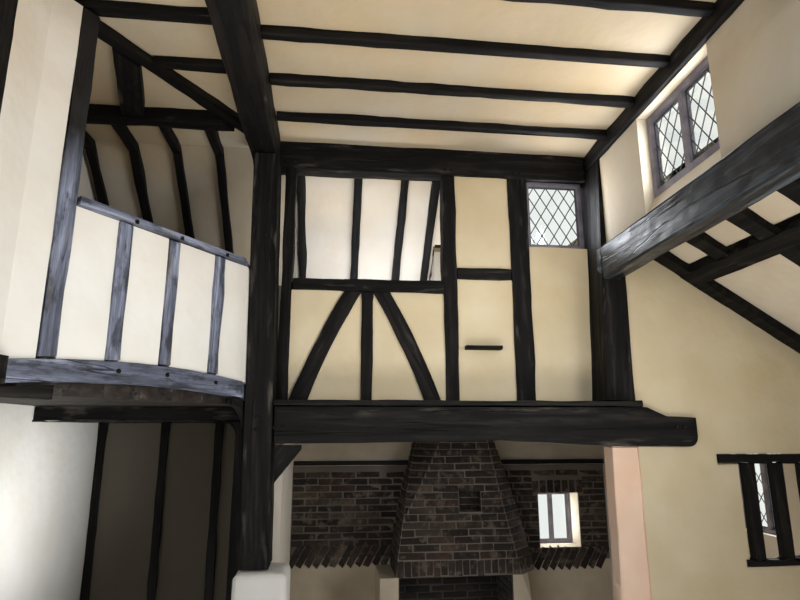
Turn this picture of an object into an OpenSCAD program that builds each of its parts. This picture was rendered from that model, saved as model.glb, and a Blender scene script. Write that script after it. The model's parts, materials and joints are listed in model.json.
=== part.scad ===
// Open end bay of a half timbered hall: framed cross wall over an inglenook,
// slanting gallery front, ceiling frame, clerestory and lean-to aisle.
// Millimetres, Z up, X to the right, Y to the back of the house.
// The origin is on the floor under the middle of the central post.

/* [Levels] */
// Underside of the hall ceiling above the floor
ceiling_z = 3950; // [3700:10:4200]
// Underside of the mantel beam above the floor
mantel_z = 1600; // [1500:10:1700]
// Height of the mantel beam
mantel_h = 260; // [220:5:300]
// Thickness of the shelf board on the mantel beam
shelf_t = 40; // [25:1:60]
// Top of the middle rail above the floor
rail_z = 2830; // [2700:5:2950]
// Underside of the arcade beam above the floor
arcade_z = 2820; // [2700:5:2900]

/* [Central post] */
// Width of the central post
post_w = 190; // [150:5:240]
// Depth of the central post
post_d = 300; // [240:5:340]
// How far the head of the central post leans to the left
post_lean = 60; // [0:5:90]
// Width of the plaster plinth under the central post
plinth_w = 350; // [300:5:420]
// Depth of the plaster plinth
plinth_d = 380; // [340:5:440]
// Height of the plaster plinth
plinth_h = 830; // [700:10:950]
// Radius of the rounded edges of the plinth
plinth_r = 55; // [30:5:90]

// How far the plinth stands to the right of the post's middle
plinth_shift = 45; // [30:5:60]

/* [Cross wall] */
// Thickness of the timber framing of the cross wall
wall_t = 150; // [120:5:180]
// Distance of the plaster's face behind the timbers' faces
panel_set = 22; // [10:1:35]
// Bevel along the worn lower edges of the beams
wane = 10; // [4:1:16]
// Thickness of the plaster infill
panel_t = 90; // [60:5:100]
// Right edge of the wall's left stud
left_stud_x = 145; // [130:5:170]
// Left edge of the middle post
middle_x = 1311; // [1250:1:1360]
// Width of the cross wall's left stud
left_stud_w = 85; // [70:5:100]
// Width of the middle post
middle_w = 109; // [90:1:130]
// Left edge of the stud beside the window
window_stud_x = 1860; // [1800:5:1900]
// Width of the stud beside the window
window_stud_w = 155; // [130:5:170]
// Height of the middle rail
rail_h = 100; // [80:5:120]
// Height of the short rail in the second bay
noggin_h = 95; // [80:5:110]
// Height of the short rail's underside above the middle rail's top
noggin_up = 20; // [0:5:60]
// Depth of the top plate below the ceiling
plate_h = 230; // [200:5:260]
// Width of a brace in the chevron
brace_w = 110; // [90:5:130]
// Width of the stud under the middle rail
king_w = 90; // [70:5:110]
// Middle of the chevron under the middle rail
chevron_x = 715; // [680:5:750]
// Distance from the chevron's middle to a brace's foot
chevron_spread = 500; // [450:5:540]
// Rise of the curve of a brace
brace_bow = 22; // [10:1:40]
// Underside of the window opening above the shelf
window_up = 1236; // [1100:2:1300]
// Height of the window opening
window_h = 584; // [500:2:620]

// Underside of the small ledge in the second bay above the shelf
ledge_up = 386; // [340:2:420]
// Left end of the small ledge
ledge_x = 1460; // [1440:5:1500]
// Length of the small ledge
ledge_len = 290; // [240:5:320]
// How far the small ledge stands out of the plaster
ledge_out = 90; // [60:5:110]
// Height of the small ledge
ledge_t = 40; // [30:1:50]

/* [Right post and pier] */
// Left edge of the right post at its foot
right_post_x = 2458; // [2440:2:2480]
// Width of the right post at its foot
right_post_w = 232; // [200:2:250]
// Width of the right post at its head
right_head_w = 170; // [150:2:200]
// Depth of the right post
right_post_d = 370; // [340:5:400]
// How far the left edge of the right post moves right up to its head
right_lean = 80; // [0:5:100]
// Width of the plaster pier under the mantel beam
pier_w = 250; // [220:5:280]
// Distance of the pier's left side from the right post's left side
pier_in = 25; // [0:5:50]
// Depth of the plaster pier
pier_d = 150; // [130:5:220]
// Radius of the pier's rounded edges
pier_r = 50; // [30:5:60]
// Height of the pier's wider foot
pier_foot_h = 650; // [500:10:750]
// How much wider the pier is at its foot, to the left
pier_foot_w = 30; // [20:5:60]

/* [Mantel] */
// Distance of the mantel beam's face in front of the cross wall
mantel_proud = 240; // [200:5:280]
// Length of the mantel beam's tail past the right post
mantel_tail = 445; // [350:5:500]
// Drop of the top of the tail
tail_drop = 75; // [50:5:100]
// Distance of the shelf's edge in front of the mantel beam
shelf_proud = 45; // [20:5:80]
// Place and height of the waves of the mantel beam's hewn underside
mantel_waves = [[800, 4], [1650, 18], [2350, -20]]; // [-30:1:2400]
// How much lower the mantel beam's right end hangs
mantel_sag = 28; // [10:1:40]
// Radius of the rounded lower edge of the tail
tail_r = 70; // [50:5:90]
// Leg of the straight knee brace under the mantel beam
knee_leg = 190; // [150:5:220]
// Thickness of the straight knee brace
knee_t = 60; // [50:5:80]

/* [Inglenook] */
// Depth of the inglenook behind the cross wall's face
nook_d = 1200; // [1100:10:1350]
// Right side of the inglenook
nook_x = 3060; // [3000:10:3100]
// Thickness of the walls at the sides of the inglenook
side_t = 150; // [120:5:200]
// Thickness of the rear wall
rear_t = 300; // [250:10:340]
// Left edge of the small window in the rear wall
small_x = 2400; // [2380:5:2420]
// Width of the small window
small_w = 390; // [350:5:420]
// Sill of the small window above the floor
small_z = 637; // [600:1:680]
// Height of the small window
small_h = 478; // [440:2:500]
// Height of the timber ledge on the rear wall
ledge_z = 1375; // [1350:5:1420]
// Height of the ledge's face
ledge_h = 53; // [40:1:70]

/* [Hood and hearth] */
// Underside of the brick hood above the floor
hood_z = 530; // [500:10:560]
// Left side of the hood at its foot
hood_x = 1010; // [1000:5:1030]
// Width of the hood at its foot
hood_w = 1210; // [1150:5:1250]
// Width of the hood at the mantel's underside
hood_top_w = 675; // [620:5:700]
// Depth of the hood at its foot
hood_d = 500; // [450:10:550]
// Depth of the hood at its top
hood_top_d = 380; // [340:10:400]
// Share of the hood's taper that lies on its left side
hood_shift = 0.41; // [0.35:0.01:0.5]
// Swell of the hood's sides
hood_swell = 25; // [10:5:40]
// Left edge of the fire opening under the hood
fire_x = 1032; // [1020:2:1060]
// Width of the fire opening
fire_w = 948; // [900:2:960]
// Thickness of the cheeks beside the fire
cheek_t = 150; // [120:5:180]
// How much of the hood's right front corner is cut off at its foot
hood_facet = 160; // [120:5:200]
// How much of that corner is cut off at the mantel's underside
hood_top_facet = 70; // [50:5:100]
// The same at the left front corner, which stays whole up to half its height
left_facet = -180; // [-220:5:-120]
// How much of the left corner is cut off at the mantel's underside
left_top_facet = 185; // [150:5:200]
// Middle of the small niche as a share of the hood's width
niche_at = 0.527; // [0.5:0.001:0.55]
// Width of the small niche in the hood
niche_w = 190; // [150:5:220]
// Height of the small niche
niche_h = 190; // [150:5:210]
// Bottom of the small niche above the hood's foot
niche_up = 490; // [460:10:540]
// Depth of the small niche
niche_d = 190; // [150:5:220]
// Thickness of the hood's front and back around its hollow
hood_t = 110; // [90:5:130]
// Height of the hood's hollow
flue_h = 420; // [360:10:460]
// Side of the square flue in the stack
flue_w = 200; // [160:10:240]
// Width of the chimney stack
stack_w = 520; // [480:5:540]
// How far the bands of the stack stand out
stack_band = 30; // [20:2:40]
// Height of the stack's upper band
stack_cap = 60; // [45:5:75]
// Height of the chimney stack above the ceiling
stack_up = 620; // [400:10:700]

/* [Gallery] */
// Slant of the gallery front against the cross wall, in degrees
gallery_turn = 56.7; // [50:0.1:62]
// Distance of the gallery front's line inside the central post's left face
gallery_shift = 18; // [0:1:40]
// Distance from the central post to the far edge of the gallery's end post
gallery_len = 1443; // [1380:1:1460]
// Width of the gallery's end post
end_post_w = 100; // [80:2:120]
// Width of the plaster between the end post and the hall's left wall
gallery_end = 184; // [160:2:210]
// Depth of the gallery's end post
gallery_post_d = 220; // [180:5:240]
// Thickness of the gallery's plaster
gallery_panel_t = 60; // [45:5:75]
// Middles of the gallery's studs, measured from the central post
gallery_stud_at = [345, 718, 1052]; // [300:1:1100]
// How far the rail stands out of the gallery's studs
handrail_out = 15; // [5:1:25]
// Leg of the curved bracket at the central post
bracket_leg = 150; // [120:5:180]
// Height of the bracket at the left end under the gallery beam
bracket_h = 55; // [40:5:70]
// Thickness of the gallery's timbers
gallery_t = 110; // [90:5:130]
// Soffit of the gallery beam at its ends
gallery_z = 1885; // [1870:1:1890]
// Depth of the gallery beam
gallery_beam_h = 115; // [100:1:125]
// Rise of the gallery beam's camber
camber = 55; // [20:1:70]
// Top of the gallery rail above the floor
handrail_z = 2850; // [2750:5:2950]
// Height of the gallery rail
handrail_h = 55; // [40:1:70]
// Width of a gallery stud
gallery_stud_w = 84; // [70:1:95]
// Height of the top plate over the gallery front
gallery_plate_h = 75; // [60:5:100]
// Width of the top plate over the gallery front
gallery_plate_w = 75; // [60:5:110]
// How far that plate stands back from the gallery's front face
gallery_plate_in = 112; // [90:1:130]

/* [Roofs and ceiling] */
// Depth of the principal beam below the ceiling
principal_h = 250; // [220:5:280]
// Width of the principal beam
principal_w = 205; // [180:5:220]
// Depth of a ceiling joist below the plaster
joist_h = 55; // [40:1:70]
// Width of a ceiling joist
joist_w = 65; // [50:1:90]
// Width of a ceiling joist between the principal beam and the left wall
side_joist_w = 80; // [60:5:95]
// How far those joists stand forward of the others
side_joist_shift = 105; // [60:5:140]
// Distance between ceiling joists
joist_step = 455; // [420:5:480]
// Height of the tie beam at the open front
front_tie_h = 130; // [100:5:140]
// Thickness of the ceiling with its boards
ceiling_t = 60; // [40:5:90]
// Slope of the rear roof in degrees
rear_slope = 41; // [38:0.5:44]
// Slope of the aisle roof in degrees
aisle_slope = 32.6; // [30:0.1:35]
// Thickness of the roofs with their boards
roof_t = 45; // [30:5:70]
// Height of the aisle roof's underside at the clerestory above the arcade beam
aisle_rise = 156; // [130:2:170]
// Slope of the low roof over the inglenook's right end, in degrees
low_slope = 22; // [18:1:26]
// Drop of the low roof's underside below the hall window
low_drop = 86; // [80:2:100]
// Depth of a rafter below the plaster
rafter_h = 60; // [40:5:80]
// Width of a rafter of the rear roof
rafter_w = 70; // [50:5:90]
// Left edge of the first rafter over the cross wall
rafter_x = 125; // [110:5:140]
// Places of the rafters over the cross wall, from the first one
rafter_at = [0, 485, 885, 1160]; // [0:5:1200]
// Distance between the rafters over the gallery
gallery_rafter_step = 334; // [300:2:360]
// Width of a rafter of the aisle roof
aisle_rafter_w = 130; // [100:5:150]
// Distance between the rafters of the aisle roof
aisle_rafter_step = 440; // [400:5:480]
// Distance of the aisle's purlin from the clerestory wall
purlin_in = 462; // [400:2:520]
// Width of the aisle's purlin
purlin_w = 120; // [100:5:140]

/* [Right range] */
// Turn of the clerestory and arcade beam, in degrees
range_turn = 2; // [0:0.5:4]
// Length of the hall in front of the right post
bay_len = 2230; // [2100:10:2400]
// Depth of the arcade post at the open front
arcade_post_d = 180; // [150:5:200]
// How much wider the arcade post's head is
jowl_w = 20; // [10:1:30]
// Height of the arcade post's wider head
jowl_h = 320; // [280:10:360]
// Width of the arcade beam
arcade_w = 165; // [140:5:180]
// Height of the arcade beam
arcade_h = 255; // [220:5:280]
// Height of the wall plate over the clerestory
wall_plate_h = 130; // [100:5:150]
// Distance of the wall plate's face behind the arcade beam's face
wall_plate_in = 25; // [10:1:35]
// Distance of the clerestory wall behind the beam's face
clerestory_in = 60; // [40:5:80]
// Thickness of the clerestory wall
clerestory_t = 140; // [120:5:160]
// Height of the clerestory's sloping sill above the arcade beam
sill_rise = 150; // [120:5:180]
// Distance from the right post to the clerestory window
clerestory_gap = 620; // [560:10:680]
// Width of the clerestory window
clerestory_w = 820; // [760:10:860]
// Height of the wall over the clerestory window, up to the ceiling
clerestory_head = 135; // [120:5:180]
// Distance of the aisle's outer wall from the right post
aisle_w = 1720; // [1650:10:1850]
// Thickness of the aisle's walls
aisle_t = 150; // [120:5:180]
// Left edge of the barred hatch from the right post
hatch_gap = 760; // [740:5:800]
// Sill of the barred hatch above the floor
hatch_z = 740; // [700:5:800]
// Height of the barred hatch
hatch_h = 780; // [740:5:800]
// Distance of the barred hatch from the aisle's outer wall
hatch_side = 10; // [5:1:60]
// Number of bars in the hatch
hatch_bars = 4; // [3:1:5]
// Width of a bar
hatch_bar = 80; // [60:5:95]
// How far the hatch's timbers stand out of the wall
hatch_out = 25; // [10:1:35]
// Height of the hatch's head
hatch_head = 65; // [50:5:80]
// Height of the hatch's sill
hatch_sill = 48; // [40:1:60]
// How far the hatch's head runs past it to the left
hatch_past = 160; // [120:10:180]

/* [Windows] */
// Width of the hall window's frame
hall_bar = 38; // [30:1:50]
// Width of the clerestory window's frame and mullion
clerestory_bar = 50; // [40:1:60]
// Width of the small window's frame and mullion
small_bar = 34; // [28:1:45]
// Width of the aisle window's frame and mullion
aisle_bar = 40; // [30:1:55]
// Depth of the window frames
frame_d = 60; // [45:1:70]
// Distance of the clerestory window's frame behind the wall's face
glass_in = 70; // [55:1:80]
// Thickness of the glass
glass_t = 6; // [4:1:10]

/* [Outside] */
// Width of the studs and rails outside
stud_w = 130; // [100:5:160]
// Depth of the outside studs in the wall
stud_in = 70; // [50:5:90]
// How far the outside studs stand out of the plaster
frame_out = 14; // [5:1:20]
// Underside of the rail outside above the floor
outer_rail_z = 1800; // [1700:10:1900]

// Number of bays of the outside frame at the rear, left of the low roof
rear_studs = 7; // [5:1:8]
// Number of bays of the outside frame at the rear of the aisle
aisle_studs = 3; // [2:1:4]
// Number of bays of the outside frame at each side
side_studs = 6; // [4:1:7]

/* [Plan] */
// How much further left the room behind the gallery reaches
side_room = 600; // [500:10:700]
// How far the wall timbers stand out of the plaster
timber_out = 35; // [20:1:45]
// Front edge of the left wall's upper stud
left_stud_y = -1905; // [-1950:5:-1850]
// Left edge of the stud on the passage's rear wall
rear_stud_x = -572; // [-600:2:-540]
// Thickness of the floor behind the gallery and over the inglenook
floor_t = 90; // [70:5:110]
// Height of the passage lintel
lintel_h = 100; // [80:5:140]
// Width of the passage's jamb post
jamb_w = 190; // [150:5:220]
// Radius of the passage's head
passage_r = 110; // [90:5:130]
// Depth of the tie beam behind the gallery front
tie_h = 105; // [80:5:130]
// Width of the tie beam behind the gallery front
tie_w = 110; // [90:5:130]
// Distance of that tie beam in front of the cross wall
tie_front = 400; // [370:5:430]
// Depth of the strut between that tie beam and the gallery front
strut_h = 85; // [60:5:100]
// Width of the strut
strut_w = 160; // [130:5:180]
// How far the strut's foot stands past the left wall's face
strut_past = 95; // [60:5:130]
// Sideways run of the strut for each unit of its length
strut_lean = 0.27; // [0.2:0.01:0.35]
// Overhang of the rear roof at its ends
verge = 60; // [40:5:80]
// Overhang of the eaves
eaves = 180; // [120:10:250]
// Left edge of the aisle window above the floor, measured from the central post
aisle_window_y = 520; // [450:10:560]
// Sill of the aisle window above the floor
aisle_window_z = 800; // [760:10:840]
// Width of the aisle window
aisle_window_w = 640; // [560:10:700]
// Height of the aisle window
aisle_window_h = 760; // [700:10:800]

/* [Hidden] */

// Small offsets that the sizes above don't drive
principal_x = -190;
left_lap = 40;
beam_past = 60;
range_past = 60;
gallery_rafter_x = -195;

// Levels and planes that follow from the sizes above
clerestory_z = arcade_z + arcade_h + sill_rise;
clerestory_h = ceiling_z - clerestory_head - clerestory_z;
mantel_top = mantel_z + mantel_h;
shelf_top = mantel_top + shelf_t;
floor_top = mantel_top + floor_t;
soffit_z = ceiling_z - principal_h;
plate_z = ceiling_z - plate_h;
rail_low = rail_z - rail_h;
noggin_z = rail_z + noggin_up;
window_z = shelf_top + window_up;
wall_plate_z = ceiling_z - wall_plate_h;
post_front = -post_d / 2;
wall_y = post_d / 2;
wall_back = wall_y + wall_t;
mantel_y = wall_y - mantel_proud;
right_edge = right_post_x + right_post_w;
right_front = wall_back - right_post_d;
nook_left = post_w / 2 + 35;
nook_back = wall_y + nook_d;
hood_front = nook_back - hood_d;
hood_top_front = nook_back - hood_top_d;
hood_top_x = hood_x + (hood_w - hood_top_w) * hood_shift;
hood_taper = mantel_z - hood_z;
stack_x = hood_top_x + hood_top_w - stack_w;
flue_x = stack_x + stack_w / 2;
rear_y = nook_back + rear_t;
gallery_x = gallery_shift - post_w / 2;
gallery_reach = gallery_len + gallery_end;
plate_back = gallery_plate_in + gallery_plate_w;
left_x = gallery_x - gallery_reach * cos(gallery_turn);
left_back = post_front - gallery_reach * sin(gallery_turn) + left_lap;
side_x = left_x - side_room;
front_y = right_front - bay_len;
ridge_y = wall_back + 20;
range_x = right_post_x + right_lean / 2;
range_face = clerestory_in + clerestory_t;
wall_plate_x = clerestory_in + 30;
outer_x = right_edge + aisle_w - aisle_t;
hatch_w = outer_x - hatch_side - right_edge - hatch_gap;
aisle_y = right_front + 30;
aisle_back = aisle_y + aisle_t;
aisle_x = range_x + range_face;
aisle_top = arcade_z + arcade_h + aisle_rise;
tie_right = aisle_x - clerestory_t * 0.65;
landing_right = window_stud_x + window_stud_w;
parapet_z = aisle_top + 2 * roof_t;
far = 9000;

// Height of the rear roof's underside at a depth y
function rear_at(y) = ceiling_z - (y - ridge_y) * tan(rear_slope);

// Height of the low roof's underside at a depth y
function low_at(y) = window_z - low_drop - (y - wall_back) * tan(low_slope);

// Height of the aisle roof's underside at a place x
function aisle_at(x) = aisle_top - (x - aisle_x) * tan(aisle_slope);

// Left and right face of the leaning central post at a height z
function lean_at(z) = post_lean * (z - plinth_h) / (soffit_z - plinth_h);
function post_left_at(z) = -post_w / 2 - lean_at(z);
function post_right_at(z) = post_w / 2 - lean_at(z);

// Point of the slanting gallery in plan: along its front from the post, and in
function gallery_pt(along, inward) = [
    gallery_x + along * cos(gallery_turn) - inward * sin(gallery_turn),
    post_front + along * sin(gallery_turn) + inward * cos(gallery_turn)
];

// Distance along the gallery line at which it meets the plane of a given x
function gallery_along(x, inward) =
    (x - gallery_x + inward * sin(gallery_turn)) / cos(gallery_turn);

// Point of the right range in plan, in its own slightly turned frame
function range_pt(x, y) = [
    range_x + x * cos(range_turn) + y * sin(range_turn),
    right_front - x * sin(range_turn) + y * cos(range_turn)
];

// Rise of a shallow curve, from 0 at its ends to 1 in its middle
function bow(t) = 4 * t * (1 - t);

// Block between two corners
module block(low, high) {
    translate(low) cube(high - low);
}

// Elevation outline in X and Z made into a slab from y0 to y1
module facing(y0, y1) {
    translate([0, y1, 0]) rotate([90, 0, 0]) linear_extrude(y1 - y0) children();
}

// Profile in Y and Z made into a bar from x0 to x1
module along_x(x0, x1) {
    translate([x0, 0, 0]) rotate([90, 0, 90]) linear_extrude(x1 - x0) children();
}

// Rectangle between two corners, with its lower corners planed off
module worn(low, high, c = wane) {
    polygon([
        [low.x + c, low.y], [high.x - c, low.y], [high.x, low.y + c],
        [high.x, high.y], [low.x, high.y], [low.x, low.y + c]
    ]);
}

// Rectangle with quarter-round corners on the sides that ask for them
module soft_rect(w, d, r, foot = true) {
    translate([-w / 2, foot ? -d / 2 + r : -d / 2]) square([w, foot ? d - 2 * r : d - r]);
    translate([-w / 2 + r, -d / 2]) square([w - 2 * r, d]);
    for (x = [-w / 2 + r, w / 2 - r]) {
        translate([x, d / 2 - r]) circle(r, $fn = 48);
        if (foot) translate([x, -d / 2 + r]) circle(r, $fn = 48);
    }
}

module in_gallery() {
    translate([gallery_x, post_front, 0]) rotate([0, 0, gallery_turn]) children();
}

module in_range() {
    translate([range_x, right_front, 0]) rotate([0, 0, -range_turn]) children();
}

// Everything to the right of the central post's left face
module right_of_post() {
    facing(-far, far) polygon([
        [post_left_at(0), 0], [far, 0], [far, far], [post_left_at(far), far]
    ]);
}

// Everything to the left of the hall's left wall face
module left_of_hall() {
    block([-far, -far, -1], [left_x, far, far]);
}

// Everything under the rear roof's underside
module under_rear() {
    along_x(-far, far) polygon([
        [-far, -far], [far, -far], [far, rear_at(far)], [-far, rear_at(-far)]
    ]);
}

// Everything under the aisle roof's underside
module under_aisle() {
    facing(-far, far) polygon([
        [-far, -far], [far, -far], [far, aisle_at(far)], [-far, aisle_at(-far)]
    ]);
}

module central_post() {
    color("#2b2623") facing(post_front, wall_y) polygon([
        [post_left_at(plinth_h), plinth_h], [post_right_at(plinth_h), plinth_h],
        [post_right_at(soffit_z), soffit_z], [post_left_at(soffit_z), soffit_z]
    ]);
}

module post_plinth() {
    y_mid = wall_y - plinth_d / 2;
    color("#e9e4da") translate([plinth_shift, y_mid, 0]) intersection() {
        linear_extrude(plinth_h) soft_rect(plinth_w, plinth_d, plinth_r);
        translate([0, 0, plinth_h / 2]) facing(-plinth_d / 2, plinth_d / 2)
            soft_rect(plinth_w, plinth_h, plinth_r, foot = false);
        translate([0, 0, plinth_h / 2]) along_x(-plinth_w / 2, plinth_w / 2)
            soft_rect(plinth_d, plinth_h, plinth_r, foot = false);
    }
}

// Elevation of the mantel beam, with its hollowed underside and rounded tail
module mantel_outline() {
    tail_x = right_edge + mantel_tail;
    tail_top = mantel_top - tail_drop;
    left = nook_left - side_t;
    polygon([
        [left, mantel_z],
        for (p = mantel_waves) [p.x, mantel_z + p.y],
        for (a = [0 : 15 : 90]) [
            tail_x - tail_r + tail_r * sin(a), mantel_z - mantel_sag + tail_r * (1 - cos(a))
        ],
        [tail_x, tail_top], [tail_x - mantel_tail / 2, tail_top + tail_drop / 8],
        [right_edge + tail_r, mantel_top], [left, mantel_top]
    ]);
}

module mantel_beam() {
    color("#26221f") difference() {
        facing(mantel_y, wall_back) mantel_outline();
        central_post();
    }
}

module shelf_board() {
    color("#2b2623") difference() {
        block([nook_left - side_t, mantel_y - shelf_proud, mantel_top],
              [right_edge + 10, wall_back, shelf_top]);
        central_post();
        aisle_end_block();
    }
}

module mantel_knee_brace() {
    y0 = mantel_y + 60;
    x0 = post_right_at(mantel_z);
    color("#26221f") difference() {
        facing(y0, y0 + knee_t) polygon([
            [x0 - 30, mantel_z], [x0 + knee_leg, mantel_z], [x0 + knee_leg, mantel_z - 35],
            [x0 + 12, mantel_z - knee_leg - 70], [x0 - 30, mantel_z - knee_leg - 70]
        ]);
        central_post();
        facing(-far, far) mantel_outline();
    }
}

module wall_studs() {
    color("#2b2623") {
        block([left_stud_x - left_stud_w, wall_y, shelf_top], [left_stud_x, wall_back, plate_z]);
        block([middle_x, wall_y, shelf_top], [middle_x + middle_w, wall_back, plate_z]);
        block([window_stud_x, wall_y, shelf_top],
              [window_stud_x + window_stud_w, wall_back, plate_z]);
    }
}

// Outline of one slightly bowed brace, from its foot on the shelf to its head
module brace_outline(side) {
    head_x = chevron_x + side * (king_w / 2 + brace_w / 2 + 10);
    foot_x = chevron_x + side * chevron_spread;
    steps = 8;
    polygon([
        for (i = [0 : steps]) [
            foot_x - brace_w * 0.62 + (head_x - foot_x) * i / steps
                + side * brace_bow * bow(i / steps),
            shelf_top + (rail_low - shelf_top) * i / steps
        ],
        for (i = [steps : -1 : 0]) [
            foot_x + brace_w * 0.62 + (head_x - foot_x) * i / steps
                + side * brace_bow * bow(i / steps),
            shelf_top + (rail_low - shelf_top) * i / steps
        ]
    ]);
}

module king_stud_outline() {
    translate([chevron_x - king_w / 2, shelf_top]) square([king_w, rail_low - shelf_top]);
}

module wall_braces() {
    color("#2b2623") {
        facing(wall_y, wall_back) difference() {
            brace_outline(-1);
            king_stud_outline();
        }
        facing(wall_y, wall_back) difference() {
            brace_outline(1);
            king_stud_outline();
        }
    }
}

module wall_rails() {
    second_x = middle_x + middle_w;
    color("#2b2623") {
        block([left_stud_x, wall_y, rail_low], [middle_x, wall_back, rail_z]);
        block([second_x, wall_y, noggin_z], [window_stud_x, wall_back, noggin_z + noggin_h]);
        facing(wall_y, wall_back) king_stud_outline();
    }
}

module top_plate() {
    color("#2b2623") difference() {
        block([post_left_at(soffit_z) - 30, wall_y, plate_z],
              [right_edge + 40, wall_back, ceiling_z]);
        right_post();
        wall_plate();
    }
}

module wall_panels() {
    y0 = wall_y + panel_set;
    y1 = y0 + panel_t;
    second_x = middle_x + middle_w;
    third_x = window_stud_x + window_stud_w;
    color("#ded2bb") difference() {
        union() {
            block([left_stud_x, y0, shelf_top], [middle_x, y1, rail_low]);
            block([second_x, y0, shelf_top], [window_stud_x, y1, noggin_z]);
            block([second_x, y0, noggin_z + noggin_h], [window_stud_x, y1, plate_z]);
            block([third_x, y0, shelf_top], [right_edge, y1, window_z]);
        }
        facing(-far, far) union() {
            brace_outline(-1);
            brace_outline(1);
            king_stud_outline();
        }
        right_post();
    }
}

module wall_ledge() {
    y1 = wall_y + panel_set;
    y0 = y1 - ledge_out;
    low = shelf_top + ledge_up;
    color("#26221f") along_x(ledge_x, ledge_x + ledge_len) polygon([
        [y1, low], [y0 + ledge_t / 2, low], [y0, low + ledge_t / 2],
        [y0, low + ledge_t], [y1, low + ledge_t]
    ]);
}

module right_post() {
    head_z = wall_plate_z;
    color("#2b2623") facing(right_front, wall_back) polygon([
        [right_post_x, shelf_top], [right_edge, shelf_top],
        [right_post_x + right_lean + right_head_w, head_z],
        [right_post_x + right_lean, head_z]
    ]);
}

module plaster_pier() {
    x_mid = right_post_x + pier_in + pier_w / 2;
    y_mid = right_front + 20 + pier_d / 2;
    top_w = pier_w / 2;
    foot = pier_foot_w;
    color("#e3cdbb") difference() {
        intersection() {
            translate([x_mid - foot / 4, y_mid, 0])
                linear_extrude(mantel_z + 20) soft_rect(pier_w + foot * 1.2, pier_d, pier_r);
            facing(right_front, wall_back) polygon([
                [x_mid - top_w - foot, 0], [right_edge, 0],
                [right_edge, mantel_z + 20], [x_mid - top_w, mantel_z + 20],
                [x_mid - top_w - foot * 0.4, pier_foot_h],
                [x_mid - top_w - foot, pier_foot_h - 130]
            ]);
        }
        facing(-far, far) mantel_outline();
    }
}

module inglenook_walls() {
    color("#ded2bb") {
        along_x(nook_left - side_t, nook_left) polygon([
            [wall_y, 0], [nook_back, 0], [nook_back, mantel_top],
            [wall_back, mantel_top], [wall_back, mantel_z], [wall_y, mantel_z]
        ]);
        difference() {
            block([nook_x, aisle_back, 0], [nook_x + side_t, nook_back, mantel_top]);
            facing(mantel_y, wall_back) mantel_outline();
        }
    }
}

module small_opening() {
    block([small_x, nook_back - 10, small_z], [small_x + small_w, rear_y + 10, small_z + small_h]);
}

module rear_wall() {
    color("#d8cbb4") difference() {
        union() {
            intersection() {
                block([side_x - side_t, nook_back, 0], [landing_right, rear_y, ceiling_z]);
                under_rear();
            }
            along_x(landing_right, aisle_x - side_t) polygon([
                [nook_back, 0], [rear_y, 0], [rear_y, low_at(rear_y)],
                [nook_back, low_at(nook_back)]
            ]);
            facing(nook_back, rear_y) polygon([
                [aisle_x - side_t, 0], [outer_x + aisle_t, 0],
                [outer_x + aisle_t, aisle_at(outer_x + aisle_t)], [aisle_x, aisle_top],
                [aisle_x, parapet_z], [aisle_x - side_t, parapet_z]
            ]);
        }
        small_opening();
        rear_frame();
    }
}

// Sill, rail, plate and studs of a wall seen from outside
module frame_face(w, h, studs) {
    for (i = [0 : studs]) translate([i * (w - stud_w) / studs, 0]) square([stud_w, h]);
    for (z = [0, outer_rail_z, h - stud_w]) translate([0, z]) square([w, stud_w]);
}

// The same with trimmers around a window and its opening cut out
module frame_around(low, size) {
    difference() {
        union() {
            children();
            translate([low.x - stud_w / 2, low.y - stud_w / 2])
                square([size.x + stud_w, size.y + stud_w]);
        }
        translate(low) square(size);
    }
}

// Straight brace between two places, from the sill up to the rail
module outer_brace(foot, head) {
    wide = stud_w * 1.15;
    polygon([
        [foot, stud_w], [foot + wide, stud_w], [head + wide, outer_rail_z], [head, outer_rail_z]
    ]);
}

// Rear elevation of the outside frame, under the three roofs
module rear_outline(y, left, right) {
    polygon([
        [left, 0], [right, 0], [right, aisle_at(right)], [aisle_x, aisle_top],
        [aisle_x, parapet_z], [aisle_x - side_t, parapet_z],
        [aisle_x - side_t, low_at(y)], [landing_right, low_at(y)],
        [landing_right, rear_at(y)], [left, rear_at(y)]
    ]);
}

module rear_frame() {
    left = side_x - side_t - frame_out;
    right = outer_x + aisle_t + frame_out;
    y1 = rear_y + frame_out;
    step = (landing_right - left - stud_w) / rear_studs;
    color("#2b2623") facing(rear_y - stud_in, y1) intersection() {
        frame_around([small_x, small_z], [small_w, small_h]) {
            translate([left, 0]) frame_face(landing_right - left, rear_at(y1), rear_studs);
            translate([landing_right - stud_w, 0])
                frame_face(aisle_x - landing_right + stud_w, low_at(y1), 1);
            translate([aisle_x - stud_w, 0])
                frame_face(right - aisle_x + stud_w, aisle_top, aisle_studs);
            translate([aisle_x, aisle_top - stud_w]) rotate(-aisle_slope)
                square([2 * aisle_w, stud_w]);
            outer_brace(left + step * 1.8, left + stud_w);
            outer_brace(landing_right - step * 2.1, landing_right - stud_w * 2.15);
        }
        rear_outline(y1, left, right);
    }
}

module left_frame() {
    y0 = left_back - side_t;
    x0 = side_x - side_t - frame_out;
    x1 = left_x - side_t - frame_out;
    wide = frame_out + stud_in;
    color("#2b2623") {
        along_x(x0, x0 + wide) intersection() {
            translate([y0 - frame_out, 0])
                frame_face(nook_back - y0 + frame_out, ceiling_z, side_studs);
            polygon([
                [y0 - wide, 0], [nook_back, 0], [nook_back, rear_at(nook_back)],
                [ridge_y, ceiling_z], [y0 - wide, ceiling_z]
            ]);
        }
        along_x(x1, x1 + wide)
            translate([front_y, 0]) frame_face(y0 - front_y, ceiling_z, 1);
        facing(y0 - frame_out, y0 + stud_in)
            translate([x0, 0]) frame_face(x1 - x0 + wide, ceiling_z, 1);
    }
}

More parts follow.
